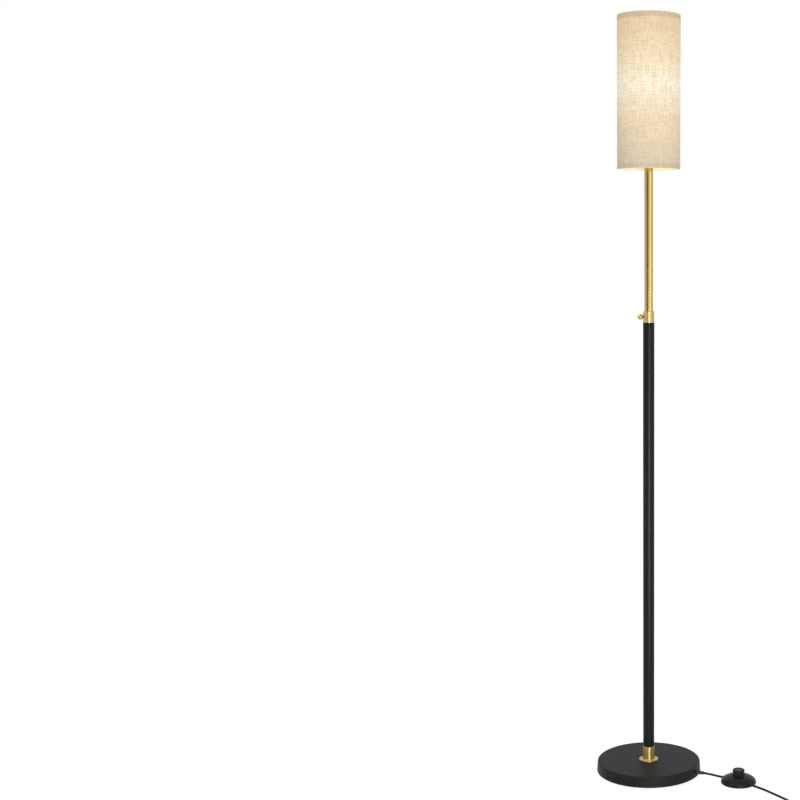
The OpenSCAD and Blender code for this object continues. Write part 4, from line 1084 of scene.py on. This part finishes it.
class LAMP_OT_camera(bpy.types.Operator):
    """Add the camera at the photograph's place"""
    bl_idname = "lamp.camera"
    bl_label = "Camera"

    def execute(self, context):
        make_camera()
        return {"FINISHED"}


class LAMP_OT_lead(bpy.types.Operator):
    """Lay the lead through the foot switch to the coil and the plug, and model what is on it"""
    bl_idname = "lamp.lead"
    bl_label = "Lead and plug"

    def execute(self, context):
        lead = context.scene.lamp_lead
        pvc = black_sleeve()
        first = settle(make_first_lead(lead.diameter), "stand", pvc, "black_pvc", "cord_to_switch")
        long = settle(make_long_lead(lead.diameter), "stand", pvc, "black_pvc", "cord_run", "cord_coil")
        settle(make_bush(), "stand", black_rubber(), "black_rubber", "cord_bush")
        tie = settle(make_coil_tie(), "stand", black_rubber(), "black_rubber", "coil_tie")
        body, relief, blades = make_plug()
        settle(body, "stand", pvc, "black_pvc", "plug_body")
        settle(relief, "stand", pvc, "black_pvc", "plug_relief")
        settle(blades, "stand", bare_brass(), "satin_brass", "plug_blades")
        dome = settle(make_switch_dome(lead.switch_diameter, lead.button_diameter), "stand", black_moulding(),
                      "black_plastic", "switch_cover")
        button = settle(make_switch_button(lead.button_diameter), "switch_button", black_moulding(),
                        "black_plastic", "switch_button")
        spring = settle(make_switch_spring(), "stand", zinc_steel(), "plated_steel", "switch_spring")
        shorten(spring)
        return {"FINISHED"}


class LAMP_OT_base(bpy.types.Operator):
    """Model the base's cover and the brass collar on it"""
    bl_idname = "lamp.base"
    bl_label = "Base"

    def execute(self, context):
        stand = context.scene.lamp_stand
        cover = make_base_cover(stand.base_diameter, stand.base_edge)
        settle(cover, "stand", powder_coat(), "black_coat", "base_cover")
        settle(make_base_collar(), "stand", turned_brass(), "satin_brass", "base_collar")
        return {"FINISHED"}


class LAMP_OT_poles(bpy.types.Operator):
    """Model both poles with the lead in the lower one, the top collar and the thumb screw"""
    bl_idname = "lamp.poles"
    bl_label = "Poles and thumb screw"

    def execute(self, context):
        stand = context.scene.lamp_stand
        settle(make_lower_pole(stand.lower_diameter), "stand", pole_coat(), "black_coat", "lower_pole")
        slack = settle(make_inner_lead(), "stand", black_sleeve(), "black_pvc", "lead_lower")
        shorten(slack)
        settle(make_upper_pole(stand.upper_diameter), "mast", drawn_brass(), "satin_brass", "upper_pole")
        settle(make_top_collar(), "stand", turned_brass(), "satin_brass", "top_collar")
        settle(make_thumb_screw(), "thumb_screw", turned_brass(), "satin_brass", "thumb_screw")
        return {"FINISHED"}


class LAMP_OT_shade(bpy.types.Operator):
    """Model the linen drum, its lining, its wire rings and the spider"""
    bl_idname = "lamp.shade"
    bl_label = "Shade"

    def execute(self, context):
        shade = context.scene.lamp_shade
        drum = make_linen(shade.diameter, shade.height, shade.hem)
        settle(drum, "mast", linen(), "linen", "shade_linen")
        seam = settle(make_back_seam(shade.diameter, shade.height), "mast", linen(), "linen")
        settle(make_lining(shade.diameter), "mast", shade_lining(), "lining", "shade_lining")
        ring = make_wire_ring("shade_top_ring_wire", sum(reach("shade_top_ring")[1:]) / 2)
        settle(ring, "mast", white_enamel(), "white_wire", "shade_top_ring")
        spider = settle(make_spider(), "mast", white_enamel(), "white_wire", "shade_spider")
        settle(make_shade_ring(), "mast", black_phenolic(), "black_plastic", "shade_ring")
        return {"FINISHED"}


class LAMP_OT_bulb(bpy.types.Operator):
    """Model the lampholder and the bulb"""
    bl_idname = "lamp.bulb"
    bl_label = "Lampholder and bulb"

    def execute(self, context):
        settle(make_holder_cap(), "mast", black_phenolic(), "black_plastic", "lampholder_cap")
        settle(make_holder_body(), "mast", black_phenolic(), "black_plastic", "lampholder_body")
        settle(make_bulb_cap(), "mast", nickel_brass(), "bulb_metal", "bulb_cap")
        settle(make_bulb_body(), "mast", white_moulding(), "white_plastic", "bulb_body")
        settle(make_bulb_globe(), "mast", frosted_globe(), "bulb_glass", "bulb_globe")
        return {"FINISHED"}


class LAMP_OT_finishes(bpy.types.Operator):
    """Give each CAD piece that stays its real material"""
    bl_idname = "lamp.finishes"
    bl_label = "Finishes"

    def execute(self, context):
        finishes = {
            powder_coat: ["base_plate"],
            cast_iron: ["base_weight"],
            grey_foam: ["base_pad"],
            zinc_steel: ["pole_stud", "stud_washer", "stud_nut", "block_screws", "pole_foot", "glide_clips",
                         "pole_top_plug", "socket_nipple", "nipple_nut", "holder_terminals", "switch_screws"],
            white_moulding: ["terminal_block", "switch_mechanism"],
            black_sleeve: ["base_lead", "lead_upper"],
            natural_nylon: ["guide_bush", "clamp_shoe", "glide_bush"],
            steatite: ["lampholder_core"],
            bare_brass: ["screw_shell", "centre_contact", "switch_contacts"],
            nickel_brass: ["bulb_contact"],
            black_rubber: ["switch_pads", "switch_grommets"],
            black_moulding: ["switch_base"],
        }
        for finish, nodes in finishes.items():
            for node in nodes:
                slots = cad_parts[node].data.materials
                slots.clear()
                slots.append(finish())
        return {"FINISHED"}


class LAMP_OT_stage(bpy.types.Operator):
    """Lay the pale floor and set up the even studio light"""
    bl_idname = "lamp.stage"
    bl_label = "Floor and lights"

    def execute(self, context):
        make_floor(context.scene.lamp_stage)
        make_sky(context.scene.lamp_stage)
        make_lights(context.scene.lamp_stage)
        context.scene.view_settings.view_transform = "Standard"
        return {"FINISHED"}


def shown_white(tree):
    """1 for camera, glossy and transmission rays, which see the white studio, and 0 for others."""
    kinds = add(tree, "LightPath").outputs
    larger = {"operation": "MAXIMUM"}
    either = add(tree, "Math", larger, {0: kinds["Is Camera Ray"], 1: kinds["Is Glossy Ray"]}).outputs[0]
    return add(tree, "Math", larger, {0: either, 1: kinds["Is Transmission Ray"]}).outputs[0]


def make_floor(stage):
    """A wide pale floor that looks white and keeps the lamp's soft shadow."""
    only()
    bpy.ops.mesh.primitive_plane_add(size=60, location=(0, 0, -0.0005))
    floor = bpy.context.object
    floor.name = "floor"
    material = bpy.data.materials.new("floor_painted_white")
    material.use_nodes = True
    tree = material.node_tree
    tree.nodes.clear()
    plain = add(tree, "BsdfDiffuse", {}, {"Color": stage.floor})
    pale = add(tree, "BsdfDiffuse", {}, {"Color": colour("#a2a2a2")})
    glow = add(tree, "Emission", {}, {"Color": colour("#ffffff"), "Strength": 0.80})
    lifted = add(tree, "AddShader", {}, {0: pale.outputs[0], 1: glow.outputs[0]})
    mix = add(tree, "MixShader", {}, {0: shown_white(tree), 1: plain.outputs[0], 2: lifted.outputs[0]})
    add(tree, "OutputMaterial", {}, {"Surface": mix.outputs[0]})
    floor.data.materials.append(material)


def make_sky(stage):
    """An even sky: white where it is seen, softer where it lights."""
    world = bpy.data.worlds.new("studio")
    bpy.context.scene.world = world
    world.use_nodes = True
    tree = world.node_tree
    tree.nodes.clear()
    soft = add(tree, "Background", {}, {"Color": colour("#ffffff"), "Strength": stage.sky})
    seen = add(tree, "Background", {}, {"Color": colour("#ffffff"), "Strength": 1})
    mix = add(tree, "MixShader", {}, {0: shown_white(tree), 1: soft.outputs[0], 2: seen.outputs[0]})
    add(tree, "OutputWorld", {}, {"Surface": mix.outputs[0]})


def soft_box(name, at, aim, wide, tall, radiance):
    """An area light with a radiance as seen, in place of watts; places and sizes are in metres."""
    bpy.ops.object.light_add(type="AREA", location=at)
    light = bpy.context.object
    light.name = name
    light.rotation_euler = (Vector(aim) - Vector(at)).to_track_quat("-Z", "Y").to_euler()
    light.data.shape, light.data.size, light.data.size_y = "RECTANGLE", wide, tall
    light.data.energy = radiance * pi * wide * tall
    light.visible_camera = False
    return light


def make_lights(stage):
    """A wide soft box at the right for the brass, a low upright strip beside the camera for the line
    of light on the black pole and the collars, a high one at the left for the foot switch, an even
    front light that only brightens, and a grey flag at the left for the dark side of the brass."""
    soft_box("key_light", (2.3, -2.3, 1.5), (0, 0, 1.1), 2.4, 2.2, stage.key).visible_diffuse = False
    soft_box("strip_light", (0.31, -1.57, 0.4), (0, 0, 0.4), 0.42, 0.8, stage.strip)
    soft_box("fill_light", (-1.9, -1.6, 2.9), (0, 0, 0.4), 1.2, 1.2, stage.fill).visible_diffuse = False
    soft_box("front_light", (0, -3.6, 1.9), (0, 0, 1.3), 1.6, 1.2, stage.front).visible_glossy = False
    only()
    bpy.ops.mesh.primitive_plane_add(size=1, location=(-0.63, -0.95, 1.3), scale=(1.75, 2.6, 1),
                                     rotation=(pi / 2, 0, radians(-39)))
    flag = bpy.context.object
    flag.name = "grey_flag"
    flag.visible_camera = flag.visible_diffuse = flag.visible_shadow = False
    cloth = surface("flag_grey_cloth", Base_Color=colour("#909090"), Specular_IOR_Level=0)[0]
    flag.data.materials.append(cloth)


# ---- Panel and registration ------------------------------------------------------------------------

STEPS = (LAMP_OT_camera, LAMP_OT_lead, LAMP_OT_base, LAMP_OT_poles, LAMP_OT_shade, LAMP_OT_bulb,
         LAMP_OT_finishes, LAMP_OT_stage)
GROUPS = {"lamp_stand": LampStandSettings, "lamp_shade": LampShadeSettings, "lamp_lead": LampLeadSettings,
          "lamp_stage": LampStageSettings}


class LAMP_PT_lamp(bpy.types.Panel):
    """The lamp's steps and sizes"""
    bl_label = "Floor lamp"
    bl_space_type = "VIEW_3D"
    bl_region_type = "UI"
    bl_category = "Lamp"

    def draw(self, context):
        for step in STEPS:
            self.layout.operator(step.bl_idname)
        for key, group in GROUPS.items():
            box = self.layout.box()
            for setting in group.__annotations__:
                box.prop(getattr(context.scene, key), setting)


def register():
    for group in (*GROUPS.values(), *STEPS, LAMP_PT_lamp):
        bpy.utils.register_class(group)
    for key, group in GROUPS.items():
        setattr(bpy.types.Scene, key, PointerProperty(type=group))


def unregister():
    for key in GROUPS:
        delattr(bpy.types.Scene, key)
    for group in (LAMP_PT_lamp, *reversed(STEPS), *GROUPS.values()):
        bpy.utils.unregister_class(group)


def main():
    register()
    for step in STEPS:
        family, name = step.bl_idname.split(".")
        getattr(getattr(bpy.ops, family), name)()


if __name__ == "__main__":
    main()
